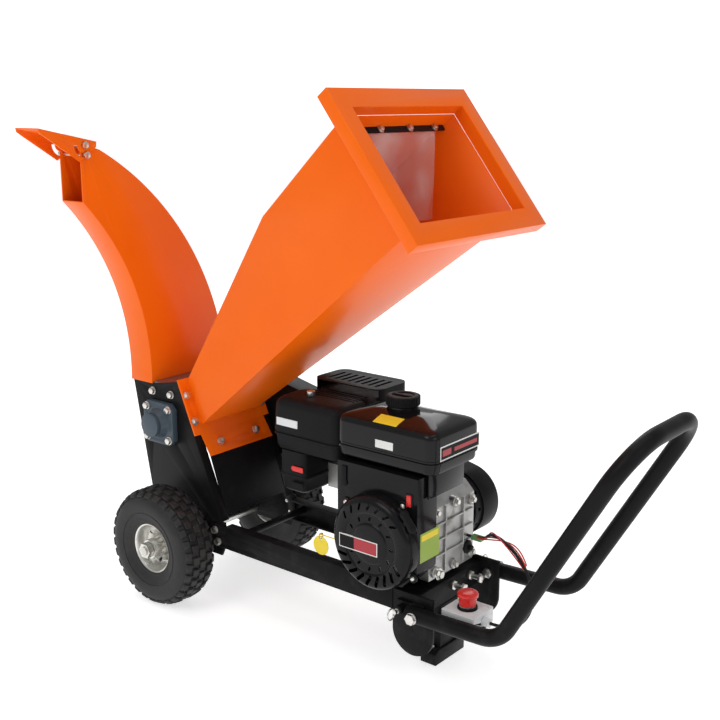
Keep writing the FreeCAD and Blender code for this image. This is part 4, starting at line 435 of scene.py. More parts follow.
# %% A ring of copies and a row of copies
def repeat_tree(name, round_y):
    tree = bpy.data.node_groups.new(name, "GeometryNodeTree")
    face = tree.interface
    face.new_socket("Piece", in_out="INPUT", socket_type="NodeSocketGeometry")
    for label, kind in (("Count", "Int"), ("Radius", "Float"), ("Step", "Vector"), ("First Angle", "Float"),
                        ("Sweep", "Float"), ("Finish", "Material")):
        face.new_socket(label, in_out="INPUT", socket_type="NodeSocket" + kind)
    face.new_socket("Copies", in_out="OUTPUT", socket_type="NodeSocketGeometry")
    add = tree.nodes.new
    source, sink = add("NodeGroupInput"), add("NodeGroupOutput")
    points, index = add("GeometryNodeMeshLine"), add("GeometryNodeInputIndex")
    onto, real, paint = (add("GeometryNodeInstanceOnPoints"), add("GeometryNodeRealizeInstances"),
                         add("GeometryNodeSetMaterial"))
    join = tree.links.new
    join(source.outputs["Count"], points.inputs["Count"])
    join(points.outputs[0], onto.inputs["Points"])
    join(source.outputs["Piece"], onto.inputs["Instance"])
    if round_y:
        points.inputs["Offset"].default_value = (0, 0, 0)
        part, turn, start = (add("ShaderNodeMath") for _ in range(3))
        part.operation, turn.operation, start.operation = "MULTIPLY", "DIVIDE", "ADD"
        join(index.outputs[0], part.inputs[0])
        join(source.outputs["Sweep"], part.inputs[1])
        join(part.outputs[0], turn.inputs[0])
        join(source.outputs["Count"], turn.inputs[1])
        join(turn.outputs[0], start.inputs[0])
        join(source.outputs["First Angle"], start.inputs[1])
        angles, out = add("ShaderNodeCombineXYZ"), add("ShaderNodeCombineXYZ")
        join(start.outputs[0], angles.inputs[1])
        join(source.outputs["Radius"], out.inputs[2])
        join(angles.outputs[0], onto.inputs["Rotation"])
        shift = add("GeometryNodeTranslateInstances")
        join(onto.outputs[0], shift.inputs["Instances"])
        join(out.outputs[0], shift.inputs["Translation"])
        join(shift.outputs[0], real.inputs[0])
    else:
        join(source.outputs["Step"], points.inputs["Offset"])
        join(onto.outputs[0], real.inputs[0])
    join(real.outputs[0], paint.inputs["Geometry"])
    join(source.outputs["Finish"], paint.inputs["Material"])
    join(paint.outputs[0], sink.inputs[0])
    return tree


RING, ROW = repeat_tree("ring_of_copies", True), repeat_tree("row_of_copies", False)


def repeated(tree, piece, **values):
    """A plain mesh of the copies; the named inputs are set by their sockets' identifiers."""
    mesh = as_mesh("repeated", piece)
    holder = placed("repeated", mesh)
    modifier = holder.modifiers.new("copies", "NODES")
    modifier.node_group = tree
    sockets = {item.name: item.identifier for item in tree.interface.items_tree if item.in_out == "INPUT"}
    for label, value in values.items():
        modifier[sockets[label.replace("_", " ")]] = value
    result = final_mesh(holder)
    bpy.data.objects.remove(holder)
    return result


def block(low, high, round_by=0.0, segments=2):
    """A box between two corners, with rounded edges."""
    made = bmesh.new()
    bmesh.ops.create_cube(made, size=1.0)
    low, high = Vector(low), Vector(high)
    for vert in made.verts:
        vert.co = Vector([(low[i] + high[i]) / 2 + vert.co[i] * (high[i] - low[i]) for i in range(3)])
    if round_by:
        bmesh.ops.bevel(made, geom=made.edges[:], offset=round_by, segments=segments, profile=0.5,
                        affect="EDGES")
    return made


def joined(*parts):
    """Several meshes or bmeshes as one bmesh."""
    whole = bmesh.new()
    for part in parts:
        mesh = part
        if isinstance(part, bmesh.types.BMesh):
            mesh = as_mesh("part", part)
        whole.from_mesh(mesh)
        bpy.data.meshes.remove(mesh)
    return whole


def moved(mesh, place, turn=None):
    """The bmesh or mesh moved to a place, after an optional rotation matrix."""
    matrix = Matrix.Translation(place) @ (turn.to_4x4() if turn else Matrix.Identity(4))
    if isinstance(mesh, bmesh.types.BMesh):
        bmesh.ops.transform(mesh, matrix=matrix, verts=mesh.verts)
    else:
        mesh.transform(matrix)
    return mesh


def lathe(profile, steps=96, closed=True):
    """(radius, along Y) points turned about the Y axis; a closed profile makes a hollow ring."""
    made = bmesh.new()
    rings = []
    for radius, along in profile:
        if radius < 1e-6:
            rings.append([made.verts.new((0, along, 0))] * steps)
            continue
        rings.append([made.verts.new((radius * math.sin(2 * math.pi * i / steps), along,
                                      radius * math.cos(2 * math.pi * i / steps))) for i in range(steps)])
    pairs = list(zip(rings, rings[1:])) + ([(rings[-1], rings[0])] if closed else [])
    for first, second in pairs:
        for i in range(steps):
            j = (i + 1) % steps
            corners = []
            for vert in (first[i], first[j], second[j], second[i]):
                if vert not in corners:
                    corners.append(vert)
            if len(corners) > 2:
                made.faces.new(corners)
    bmesh.ops.recalc_face_normals(made, faces=made.faces[:])
    return made


# %% [markdown]
# ## Tyres
#
# Small pneumatic tyres with smooth side walls and a turf tread: a staggered pattern of blocks round the
# crown. The carcass is a shape of revolution, so it is turned from a half profile; the blocks are one small
# bevelled piece repeated round the crown in rows, each row offset by half a pitch.

# %% Turn the tyres and set the tread
TYRE_R, TYRE_HALF, BEAD_R = 0.131, 0.046, 0.0525
side_wall = [(BEAD_R, 0.0300), (0.0560, 0.0335), (0.0600, 0.0350), (0.0640, 0.0352), (0.0720, 0.0405),
             (0.0830, 0.0446), (0.0940, 0.0459), (0.1030, 0.0452), (0.1100, 0.0430), (0.1150, 0.0400),
             (0.1190, 0.0360), (0.1220, 0.0300), (0.1240, 0.0220), (0.1250, 0.0110), (0.1253, 0.0)]
carcass = side_wall + [(radius, -along) for radius, along in reversed(side_wall[:-1])]
for side, sign in (("left", 1), ("right", -1)):
    hub = Vector((-0.625, 0.183 * sign, TYRE_R))
    rows = []
    for y, wide, count, offset, tall in ((0.0, 0.0150, 30, 0.0, 0.0055), (0.0185, 0.0140, 30, 0.5, 0.0053),
                                         (-0.0185, 0.0140, 30, 0.5, 0.0053), (0.0340, 0.0110, 30, 0.0, 0.0040),
                                         (-0.0340, 0.0110, 30, 0.0, 0.0040)):
        outer = abs(y) > 0.03
        lug = block((-0.0098, -wide / 2, -0.004), (0.0098, wide / 2, tall), 0.0011, 1)
        for vert in lug.verts:
            if vert.co.z > 0.001:
                vert.co.x *= 0.80
                vert.co.z -= (abs(vert.co.y + y) - abs(y)) * (0.55 if outer else 0.12)
        rows.append(moved(repeated(RING, lug, Count=count, Radius=0.1252 - (0.0045 if outer else 0.0),
                                   First_Angle=offset * 2 * math.pi / count, Sweep=2 * math.pi,
                                   Finish=tyre_rubber), (0, y, 0)))
    beads = [lathe([(0.0800 + dr, sign * (0.0446 + dy)) for dr, dy in ((0, -0.003), (0.0012, 0.0008),
                                                                     (0.003, 0.0008), (0.0042, -0.003))])]
    tyre = joined(lathe(carcass, 120), *rows, *beads)
    hand_over("tyre_%s_treaded" % side, moved(tyre, hub), tyre_rubber, "wheel_" + side, ("tyre_" + side,))
print("tyre width", 2 * TYRE_HALF)

# %% [markdown]
# ## Wheel rims
#
# Pressed zinc-plated rims: a drop-centre barrel with rolled flanges, a dished web with a ring of round
# holes, and a hub tube. The barrel and web are turned together, and the holes are cut with a ring of round
# cutters.

# %% Turn the rims and cut their holes
rim_section = [(0.01005, -0.039), (0.0205, -0.039), (0.0210, -0.0380), (0.0210, -0.012), (0.0250, -0.006),
               (0.0300, 0.002), (0.0370, 0.007), (0.0430, 0.006), (0.0462, -0.002), (0.0478, -0.016),
               (0.0490, -0.026),
               (0.0520, -0.0312), (0.0570, -0.0335), (0.0592, -0.0322), (0.0600, -0.0302), (0.0586, -0.0296),
               (0.0555, -0.0304), (0.0524, -0.0290), (0.0518, 0.0290), (0.0555, 0.0304), (0.0586, 0.0296),
               (0.0600, 0.0302),
               (0.0592, 0.0322), (0.0570, 0.0335), (0.0520, 0.0312), (0.0490, 0.026), (0.0478, 0.016),
               (0.0462, 0.008),
               (0.0430, 0.0095), (0.0370, 0.0105), (0.0300, 0.0055), (0.0250, -0.0025), (0.0210, -0.008),
               (0.0210, 0.0380), (0.0205, 0.039), (0.01005, 0.039)]
for side, sign in (("left", 1), ("right", -1)):
    drill = bmesh.new()
    bmesh.ops.create_cone(drill, cap_ends=True, segments=20, radius1=0.0048, radius2=0.0048, depth=0.05,
                          matrix=Matrix.Rotation(math.pi / 2, 4, "X"))
    cutters = repeated(RING, drill, Count=8, Radius=0.0345, First_Angle=0.0, Sweep=2 * math.pi,
                       Finish=bright_zinc)
    tool = placed("cutters", cutters)
    rim = finished(moved(lathe(rim_section, 96), (0, 0, 0), Matrix.Rotation(math.pi * (sign < 0), 3, "Z")),
                   ("BOOLEAN", dict(object=tool, operation="DIFFERENCE", solver="EXACT")))
    bpy.data.objects.remove(tool)
    hand_over("rim_%s_pressed" % side, moved(rim, (-0.625, 0.183 * sign, 0.131)), bright_zinc,
              "wheel_" + side, ("rim_" + side,))
print("rims cut")

# %% [markdown]
# ## Lofted shells
#
# The tank, the air cleaner and the exhaust box are pressed or moulded shells with round corners and a
# softly domed top. Each is described by its plan at a few levels: a rounded rectangle with its own inset
# and corner radius. Skinning from level to level gives one closed shell, and a seam is just two close
# levels that step out.


# %% Skin rounded rectangles into a shell
def plan_ring(made, low, high, inset, radius, level, steps):
    ring = []
    centres = ((high[0], high[1], 0), (low[0], high[1], 1), (low[0], low[1], 2), (high[0], low[1], 3))
    for x, y, quarter in centres:
        sx = 1 if quarter in (0, 3) else -1
        sy = 1 if quarter in (0, 1) else -1
        cx, cy = x - sx * (inset + radius), y - sy * (inset + radius)
        for i in range(steps + 1):
            angle = math.pi / 2 * (quarter + i / steps)
            ring.append(made.verts.new((cx + radius * math.cos(angle), cy + radius * math.sin(angle), level)))
    return ring


def shell(low, high, levels, steps=8):
    """levels are (z, inset, corner radius) from the bottom up; both ends are closed."""
    made = bmesh.new()
    rings = [plan_ring(made, low, high, inset, radius, level, steps) for level, inset, radius in levels]
    for first, second in zip(rings, rings[1:]):
        for i in range(len(first)):
            j = (i + 1) % len(first)
            made.faces.new((first[i], first[j], second[j], second[i]))
    made.faces.new(reversed(rings[0]))
    made.faces.new(rings[-1])
    return made


def upright_lathe(profile, place, steps=72, closed=False):
    """(radius, height) points turned about a standing axis at the place."""
    return moved(lathe([(radius, -high) for radius, high in profile], steps, closed), place,
                 Matrix.Rotation(-math.pi / 2, 3, "X"))


def facing_right(profile, place, steps=96, closed=False):
    """(radius, outward) points turned about Y, outward towards the machine's right."""
    return moved(lathe([(radius, -out) for radius, out in profile], steps, closed), place)


# %% [markdown]
# ## Fuel tank
#
# Two steel pressings are rolled together along a seam near the lower edge. The top is a shallow dome, and
# the filler neck stands on it under a ribbed black cap. Real tanks have no flat face meeting another at an
# edge, so the levels follow a quarter ellipse from the sides to the crown.

# %% Press the tank and rib its cap
TANK_LOW, TANK_HIGH = (-0.181, -0.118), (0.053, 0.040)
tank_levels = [(0.4140, 0.016, 0.016), (0.4150, 0.008, 0.020), (0.4180, 0.003, 0.022), (0.4230, 0.0012, 0.022),
               (0.4330, 0.0012, 0.022), (0.4345, -0.0022, 0.024), (0.4385, -0.0022, 0.024),
               (0.4400, 0.0008, 0.022),
               (0.4430, 0.0008, 0.022), (0.4445, -0.0004, 0.022), (0.4830, 0.0000, 0.022)]
SHOULDER = [(0.4880, 0.0006), (0.4920, 0.0026), (0.4952, 0.0062), (0.4975, 0.0112), (0.5000, 0.0190),
            (0.5040, 0.0330), (0.5080, 0.0480), (0.5105, 0.0600)]
tank_levels += [(level, inset, 0.022 - inset * 0.12) for level, inset in SHOULDER]
tank_top = shell(TANK_LOW, TANK_HIGH, tank_levels, 10)
CAP = Vector((-0.079, -0.034, 0.0))
neck = upright_lathe([(0.0, 0.500), (0.030, 0.510), (0.030, 0.5138), (0.0240, 0.5145), (0.0238, 0.518),
                      (0.0238, 0.5258), (0.0, 0.5258)], CAP)
feet = [block((x, -0.016, 0.344), (x + 0.022, 0.024, 0.4145), 0.002) for x in (-0.130, -0.039)]
feet.append(block((0.026, -0.098, 0.364), (0.030, 0.018, 0.4150), 0.001))
hand_over("tank_pressed", joined(tank_top, neck, *feet), tank_black, "chassis", ("fuel_tank",))
rib = block((-0.0016, -0.0085, -0.0016), (0.0016, 0.0085, 0.0016), 0.0006, 1)
ribs = repeated(RING, rib, Count=40, Radius=0.0318, First_Angle=0.0, Sweep=2 * math.pi, Finish=satin_black)
ribs.transform(Matrix.Translation(CAP + Vector((0, 0, 0.5245))) @ Matrix.Rotation(-math.pi / 2, 4, "X"))
cap = upright_lathe([(0.0, 0.5275), (0.0245, 0.5275), (0.0245, 0.5152), (0.0318, 0.5152), (0.0322, 0.5170),
                     (0.0318, 0.5310), (0.0300, 0.5338), (0.0262, 0.5348), (0.0225, 0.5340), (0.0205, 0.5318),
                     (0.0, 0.5318)], CAP)
grip_bar = block((-0.021, -0.0045, 0.531), (0.021, 0.0045, 0.5350), 0.0018)
hand_over("cap_ribbed", joined(ribs, cap, moved(grip_bar, CAP)), satin_black, "cap", ("fuel_cap",))
print("tank levels", len(tank_levels))

# %% [markdown]
# ## Air cleaner
#
# A moulded box over the carburettor: a lid with round shoulders, a joint line above its tray, and an elbow
# that leads the air down. A knurled nut on top holds the lid. The tray and lid are one shell with the joint
# pressed in.

# %% Mould the air cleaner
CLEAN_LOW, CLEAN_HIGH = (-0.367, -0.104), (-0.183, 0.008)
lid_levels = [(0.3880, 0.014, 0.014), (0.3895, 0.008, 0.018), (0.3960, 0.005, 0.020), (0.4180, 0.003, 0.021),
              (0.4195, 0.0000, 0.023), (0.4225, 0.0000, 0.023), (0.4235, 0.0028, 0.021),
              (0.4255, 0.0028, 0.021),
              (0.4270, 0.0004, 0.022), (0.4780, 0.0030, 0.022)]
for i in range(1, 7):
    angle = math.pi / 2 * i / 6
    lid_levels.append((0.4780 + 0.0195 * math.sin(angle), 0.003 + 0.018 * (1 - math.cos(angle)), 0.022))
lid = shell(CLEAN_LOW, CLEAN_HIGH, lid_levels, 8)
rib = block((-0.062, -0.0016, -0.0012), (0.062, 0.0016, 0.0014), 0.0006, 1)
lid_ribs = repeated(ROW, rib, Count=5, Step=(0.0, 0.011, 0.0), Finish=satin_black)
lid_ribs.transform(Matrix.Translation((-0.262, -0.035, 0.4975)))
hand_over("cleaner_lid", joined(lid, lid_ribs), satin_black, "chassis", ("air_cleaner_cover",))
elbow = shell((-0.351, -0.096), (-0.279, 0.000),
              [(0.2965, 0.018, 0.008), (0.2985, 0.010, 0.010), (0.3040, 0.004, 0.012), (0.3300, 0.0, 0.013),
               (0.3320, -0.0015, 0.013), (0.3360, -0.0015, 0.013), (0.3380, 0.0, 0.013), (0.3860, 0.001, 0.013),
               (0.3878, 0.004, 0.010)], 6)
pins = [facing_right([(0.0, -0.002), (0.003, -0.002), (0.003, 0.0006), (0.0, 0.0006)], (-0.309, -0.096, z), 16)
        for z in (0.352, 0.318)]
hand_over("cleaner_elbow", joined(elbow, *pins), satin_black, "chassis", ("air_cleaner_base",))
nut_wall = [(0.0, 0.5103), (0.0052, 0.5103), (0.0060, 0.5095), (0.0088, 0.5088), (0.0090, 0.5000),
            (0.0086, 0.4984),
            (0.0, 0.4984)]
hand_over("cleaner_nut", upright_lathe(nut_wall, (-0.297, -0.055, 0), 18), bright_zinc, "knob",
          ("air_cleaner_knob",))

# %% [markdown]
# ## Fan shroud and recoil starter
#
# The shroud leads cooling air from the flywheel fan. Its outer side carries the round recoil cover: a drawn
# black dish with air slots, held by small zinc screws. The slots are real openings, cut by a ring of
# slanted cutters from a smaller set at the top and a longer set low down.

# %% Draw the recoil cover and cut its slots
CRANK = Vector((-0.065, 0.0, 0.270))
softened("fan_shroud", gloss_black, 0.0055, 4)
softened("engine_switch", stop_red, 0.0010)
dish = facing_right([(0.0925, 0.0), (0.0940, 0.0008), (0.0940, 0.0180), (0.0932, 0.0225), (0.0905, 0.0275),
                     (0.0860, 0.0315), (0.0800, 0.0336), (0.0640, 0.0340), (0.0610, 0.0330), (0.0590, 0.0312),
                     (0.0420, 0.0312), (0.0400, 0.0330), (0.0370, 0.0340), (0.0120, 0.0340), (0.0, 0.0340),
                     (0.0, 0.0315),
                     (0.0360, 0.0315), (0.0400, 0.0290), (0.0590, 0.0287), (0.0640, 0.0314), (0.0795, 0.0311),
                     (0.0850, 0.0290), (0.0888, 0.0255), (0.0906, 0.0220), (0.0915, 0.0180), (0.0915, 0.0)],
                    CRANK + Vector((0, -0.124, 0)), 120, True)


def slot_ring(count, radius, start, sweep, long, wide, lean):
    cutter = block((-wide / 2, -0.02, -long / 2), (wide / 2, 0.02, long / 2), wide * 0.45, 2)
    moved(cutter, (0, 0, 0), Matrix.Rotation(math.radians(lean), 3, "Y"))
    ring = repeated(RING, cutter, Count=count, Radius=radius, First_Angle=math.radians(start),
                    Sweep=math.radians(sweep), Finish=gloss_black)
    ring.transform(Matrix.Translation(CRANK + Vector((0, -0.152, 0))))
    return ring


cutters = joined(slot_ring(9, 0.0740, 118, 140, 0.026, 0.0070, 32),
                 slot_ring(7, 0.0740, -52, 118, 0.016, 0.0050, 32),
                 slot_ring(12, 0.0505, 0, 360, 0.010, 0.0046, 20))
tool = placed("slots", as_mesh("slots", cutters))
cover = finished(dish, ("BOOLEAN", dict(object=tool, operation="DIFFERENCE", solver="EXACT")))
bpy.data.objects.remove(tool)
hand_over("recoil_dish", cover, gloss_black, "chassis", ("recoil_cover",))
screw = facing_right([(0.0, -0.001), (0.0052, -0.001), (0.0052, 0.0012), (0.0042, 0.0024), (0.0024, 0.0030),
                      (0.0, 0.0031)], (0, 0, 0), 16)
tabs, screws = [], []
for angle in (35, 125, 215, 305):
    out = Matrix.Rotation(math.radians(angle), 3, "Y") @ Vector((0, 0, 0.0985))
    place = CRANK + out + Vector((0, -0.1245, 0))
    tabs.append(facing_right([(0.0, 0.0), (0.0100, 0.0), (0.0100, 0.0022), (0.0092, 0.0030), (0.0, 0.0030)],
                             place, 24))
    copy = bmesh.new()
    held = bpy.data.meshes.new("screw")
    screw.to_mesh(held)
    copy.from_mesh(held)
    screws.append(moved(copy, place + Vector((0, -0.003, 0))))
screw.free()
hand_over("recoil_ears", joined(*tabs), gloss_black, "chassis")
hand_over("recoil_screws", joined(*screws), bright_zinc, "chassis")

# %% [markdown]
# ## Starter grip and rope
#
# A moulded T grip rests on the cover's rim, and a short braided rope runs from it into the cover. The grip
# slides out with the pull; the rope is one straight braid laid at rest, and it rides on no body, so it does not
# follow the grip.

# %% Mould the grip and lay the rope
PULL = Vector((math.cos(math.radians(37)), 0, math.sin(math.radians(37))))
ACROSS = Vector((-PULL.z, 0, PULL.x))
grip_at = CRANK + PULL * 0.1035 + Vector((0, -0.145, 0))
turn = Matrix((PULL, Vector((0, 1, 0)), ACROSS)).transposed()
bar = [(0.0, -0.0228), (0.0052, -0.0224), (0.0078, -0.0195), (0.0086, -0.0140), (0.0074, -0.0060),
       (0.0080, 0.0),
       (0.0074, 0.0060), (0.0086, 0.0140), (0.0078, 0.0195), (0.0052, 0.0224), (0.0, 0.0228)]
handle_bar = upright_lathe(bar, (0, 0, 0), 28)
stem = moved(upright_lathe([(0.0, -0.0075), (0.0056, -0.0075), (0.0046, 0.0060), (0.0, 0.0060)], (0, 0, 0), 20),
             (-0.002, 0, 0), Matrix.Rotation(math.pi / 2, 3, "Y"))
hand_over("starter_grip_moulded", moved(joined(handle_bar, stem), grip_at, turn), satin_black, "grip",
          ("starter_grip",))
rope = bmesh.new()
start, end = grip_at - PULL * 0.030, grip_at - PULL * 0.004
side = Vector((0, 1, 0))
rings = []
for i in range(13):
    centre = start.lerp(end, i / 12)
    rings.append([rope.verts.new(centre + (side * math.cos(a) + ACROSS * math.sin(a)) * 0.0018)
                  for a in (2 * math.pi * k / 10 for k in range(10))])
for first, second in zip(rings, rings[1:]):
    for k in range(10):
        rope.faces.new((first[k], first[(k + 1) % 10], second[(k + 1) % 10], second[k]))
rope.faces.new(reversed(rings[0]))
rope.faces.new(rings[-1])
bmesh.ops.recalc_face_normals(rope, faces=rope.faces[:])
rope_mesh = as_mesh("starter_rope", rope)
rope_mesh.materials.append(label_white)
rope_mesh.shade_smooth()
starter_rope = placed("starter_rope", rope_mesh)
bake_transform(starter_rope)
print("rope rest length", round((end - start).length, 4))

# %% [markdown]
# ## Exhaust box and its guard
#
# The exhaust sits high at the back under a sheet guard that keeps hands off it. Rows of short slots let the
# heat out. The box is a shell of two pressings; the guard keeps its cut slots and only gets rounder edges.

# %% Press the exhaust box
box_levels = [(0.3980, 0.010, 0.016), (0.4000, 0.004, 0.020), (0.4080, 0.0, 0.023), (0.4430, 0.0, 0.023),
              (0.4440, -0.0025, 0.025), (0.4475, -0.0025, 0.025), (0.4485, 0.0, 0.023), (0.4850, 0.0, 0.023),
              (0.4925, 0.004, 0.020), (0.4940, 0.010, 0.016)]
exhaust = shell((-0.353, 0.022), (-0.193, 0.118), box_levels, 8)
pipe = upright_lathe([(0.0, 0.371), (0.013, 0.371), (0.013, 0.399), (0.0, 0.399)], (-0.232, 0.048, 0), 32)
stays = [block((x, 0.117, 0.428), (x + 0.016, 0.126, 0.468), 0.001) for x in (-0.323, -0.239)]
hand_over("exhaust_box", joined(exhaust, pipe, *stays), hot_steel, "chassis", ("muffler",))
softened("muffler_guard", satin_black, 0.0012)

# %% [markdown]
# ## Crankcase and cylinder
#
# The bare casting shows between the frame and the black covers. Castings get stiffening ribs, round bosses
# where bolts land, and a plug for the oil.

# %% Add the casting's ribs, bosses and plugs
softened("crankcase", cast_aluminium, 0.0030, 3)
softened("cylinder", cast_aluminium, 0.0008)


def hex_bolt(place, turn, across, tall, washer=1.25):
    """A bolt head with its washer, pointing along local Z."""
    made = bmesh.new()
    bmesh.ops.create_cone(made, cap_ends=True, segments=6, radius1=across * 0.577, radius2=across * 0.577,
                          depth=tall, matrix=Matrix.Translation((0, 0, tall / 2 + 0.0012)))
    bmesh.ops.bevel(made, geom=made.edges[:], offset=0.0006, segments=1, affect="EDGES")
    bmesh.ops.create_cone(made, cap_ends=True, segments=28, radius1=across * 0.6 * washer,
                          radius2=across * 0.6 * washer, depth=0.0012,
                          matrix=Matrix.Translation((0, 0, 0.0006)))
    return moved(made, place, turn)


FRONT = Matrix.Rotation(math.pi / 2, 3, "Y")
front_x = 0.007
bosses, bolts = [], []
for y, z, radius in ((-0.046, 0.196, 0.011), (-0.046, 0.318, 0.010), (0.020, 0.322, 0.010),
                     (0.078, 0.310, 0.011),
                     (0.080, 0.198, 0.011), (0.018, 0.192, 0.010)):
    bosses.append(moved(upright_lathe([(0.0, -0.006), (radius * 1.15, -0.006), (radius, 0.0050),
                                       (radius * 0.9, 0.0060),
                                       (0.0, 0.0060)], (0, 0, 0), 28), (front_x, y, z), FRONT))
    bolts.append(hex_bolt((front_x + 0.006, y, z), FRONT, 0.010, 0.0055))
ribs = [block((front_x - 0.004, -0.050, z - 0.002), (front_x + 0.0045, 0.084, z + 0.002), 0.0014)
        for z in (0.226, 0.258, 0.290)]
ribs += [block((front_x - 0.004, y - 0.002, 0.188), (front_x + 0.0052, y + 0.002, 0.322), 0.0014)
         for y in (-0.012, 0.050)]
hand_over("casting_ribs", joined(*bosses, *ribs), cast_aluminium, "chassis")
plug_place = (front_x + 0.001, -0.030, 0.186)
bolts.append(hex_bolt(plug_place, FRONT, 0.014, 0.008, 1.4))
hand_over("casting_bolts", joined(*bolts), bright_zinc, "chassis")
filler = moved(upright_lathe([(0.0, -0.004), (0.014, -0.004), (0.0140, 0.0060), (0.0115, 0.0080),
                              (0.0060, 0.0085),
                              (0.0055, 0.0150), (0.0035, 0.0165), (0.0, 0.0165)], (0, 0, 0), 28),
               (front_x + 0.002, 0.062, 0.214), FRONT)
hand_over("oil_filler", filler, satin_black, "chassis")
print("front bosses", len(bolts) - 1)

# %% [markdown]
# ## Levers
#
# Choke, fuel and throttle levers are thin tabs on small pins. The choke has a red moulded tab so that it is
# found quickly; the fuel tap and the throttle are black.

# %% Finish the levers
softened("choke_lever", stop_red, 0.0008)
softened("fuel_tap", satin_black, 0.0008)
softened("throttle_lever", satin_black, 0.0008)
# %% [markdown]
# ## Feed curtain
#
# A clear soft sheet hangs behind the hopper's mouth so that chips can't fly back. It is cut flat, clamped
# under a steel bar by four bolts and hangs free below, so it is stiff and straight at the bar and ripples
# more and more towards its hem. A fine grid with that ripple, made just thick enough, keeps its cut size.

# %% Hang the clear sheet
SHEET_W, SHEET_L, SHEET_TOP = 0.276, 0.178, 1.031
curtain = bmesh.new()
COLUMNS, ROWS = 64, 40
grid = []
for j in range(ROWS + 1):
    down = j / ROWS
    row = []
    for i in range(COLUMNS + 1):
        y = SHEET_W * (i / COLUMNS - 0.5)
        ripple = (math.sin(y * 62 + down * 1.3) * 0.0040 + math.sin(y * 131 - down * 2.1 + 1.0) * 0.0016
                  + noise.noise(Vector((y * 30, down * 4, 2.0))) * 0.0030) * down ** 0.8
        row.append(curtain.verts.new((-0.1360 + ripple, y, SHEET_TOP - SHEET_L * down)))
    grid.append(row)
for upper, lower in zip(grid, grid[1:]):
    for i in range(COLUMNS):
        curtain.faces.new((upper[i], upper[i + 1], lower[i + 1], lower[i]))
hung = hand_over("curtain_sheet", finished(curtain, ("SOLIDIFY", dict(thickness=0.0008, offset=0.0))),
                 clear_sheet,
                 "curtain", ("feed_curtain",))
bar_way = Matrix.Rotation(math.radians(90 - 37.8), 3, "Y")
bar_bolts = [hex_bolt((-0.1285, y, 1.0315), bar_way, 0.010, 0.0055) for y in (-0.126, -0.045, 0.045, 0.126)]
hand_over("curtain_bolts", joined(*bar_bolts), bright_zinc, NODES["curtain_bar"]["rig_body"])

# %% [markdown]
# ## Stop button
#
# The stop switch is a small grey box with a red mushroom head, large enough for a gloved hand. The head is
# one moulding turned from a profile: a skirt, a round rim and a crown that is nearly flat. A black collar
# seals the stem where it enters the lid.

# %% Turn the mushroom head and its collar
STOP = Vector((0.110, -0.082, 0.0))
softened("stop_box", box_grey, 0.0020, 3)
softened("stop_lid", box_grey, 0.0022, 3)
head = upright_lathe([(0.0152, 0.1735), (0.0164, 0.1735), (0.0168, 0.1880), (0.0190, 0.1892), (0.0200, 0.1912),
                      (0.0200, 0.1948), (0.0192, 0.1970), (0.0160, 0.1985), (0.0100, 0.1996), (0.0, 0.2000),
                      (0.0, 0.1860), (0.0152, 0.1860)], STOP, 72, True)
hand_over("stop_mushroom", head, stop_red, "button", ("stop_button",))
collar = upright_lathe([(0.0170, 0.1660), (0.0192, 0.1660), (0.0192, 0.1695), (0.0182, 0.1718),
                        (0.0170, 0.1718)],
                       STOP, 72, True)
hand_over("stop_collar", collar, satin_black, "handle")

# %% [markdown]
# ## Stop cable
#
# A flexible sleeved lead runs from the engine's front to the stop box on the handle, with slack for the
# handle to fold. It is about 0.43 m long, leaves both ends straight and hangs in one loose bow. A red wire
# is laid round it and a small green connector joins them near the engine.


# %% Lay the cable along its route
def route_line(route, resolution):
    curve = bpy.data.curves.new("route", "CURVE")
    curve.dimensions = "3D"
    spline = curve.splines.new("NURBS")
    spline.points.add(len(route) - 1)
    for point, place in zip(spline.points, route):
        point.co = (*place, 1.0)
    spline.order_u = 3
    spline.use_endpoint_u = True
    spline.resolution_u = resolution
    holder = placed("route", curve)
    line = final_mesh(holder)
    points = [vert.co.copy() for vert in line.vertices]
    bpy.data.objects.remove(holder)
    return points


def tube(points, radius, sides=14, aside=0.0, turns=0.0):
    """A closed tube along the points; aside and turns wind it round them."""
    made = bmesh.new()
    across = Vector((0, 0, 1))
    rings = []
    for i, point in enumerate(points):
        along = (points[min(i + 1, len(points) - 1)] - points[max(i - 1, 0)]).normalized()
        across = (across - along * across.dot(along)).normalized()
        other = along.cross(across)
        wind = 2 * math.pi * turns * i / len(points)
        centre = point + (across * math.cos(wind) + other * math.sin(wind)) * aside
        rings.append([made.verts.new(centre + (across * math.cos(a) + other * math.sin(a)) * radius)
                      for a in (2 * math.pi * k / sides for k in range(sides))])
    for first, second in zip(rings, rings[1:]):
        for k in range(sides):
            made.faces.new((first[k], first[(k + 1) % sides], second[(k + 1) % sides], second[k]))
    made.faces.new(rings[0])
    made.faces.new(rings[-1])
    bmesh.ops.recalc_face_normals(made, faces=made.faces[:])
    return made


STOP_ROUTE = [(0.160, -0.082, 0.150), (0.207, -0.082, 0.150), (0.244, -0.076, 0.194), (0.232, -0.062, 0.248),
              (0.186, -0.040, 0.280), (0.132, -0.008, 0.286), (0.084, 0.030, 0.270), (0.046, 0.072, 0.234),
              (0.007, 0.072, 0.234)]
line = route_line(STOP_ROUTE, 12)
cable = hand_over("stop_lead", tube(line, 0.0030), cable_black, None, ("stop_cable",))
spread = line[len(line) // 2 - 8:-6]
wires = joined(*[tube(spread, 0.0013, 8, aside, 0.8) for aside in (0.0046, -0.0046, 0.0090)])
red_wire = hand_over("stop_lead_red", wires, cable_red, None)
for piece in (cable, red_wire):
    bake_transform(piece)
plug = moved(block((-0.012, -0.0065, -0.005), (0.012, 0.0065, 0.005), 0.0012), (0.030, 0.072, 0.234))
plug_piece = hand_over("lead_connector", plug, connector_green, "chassis")
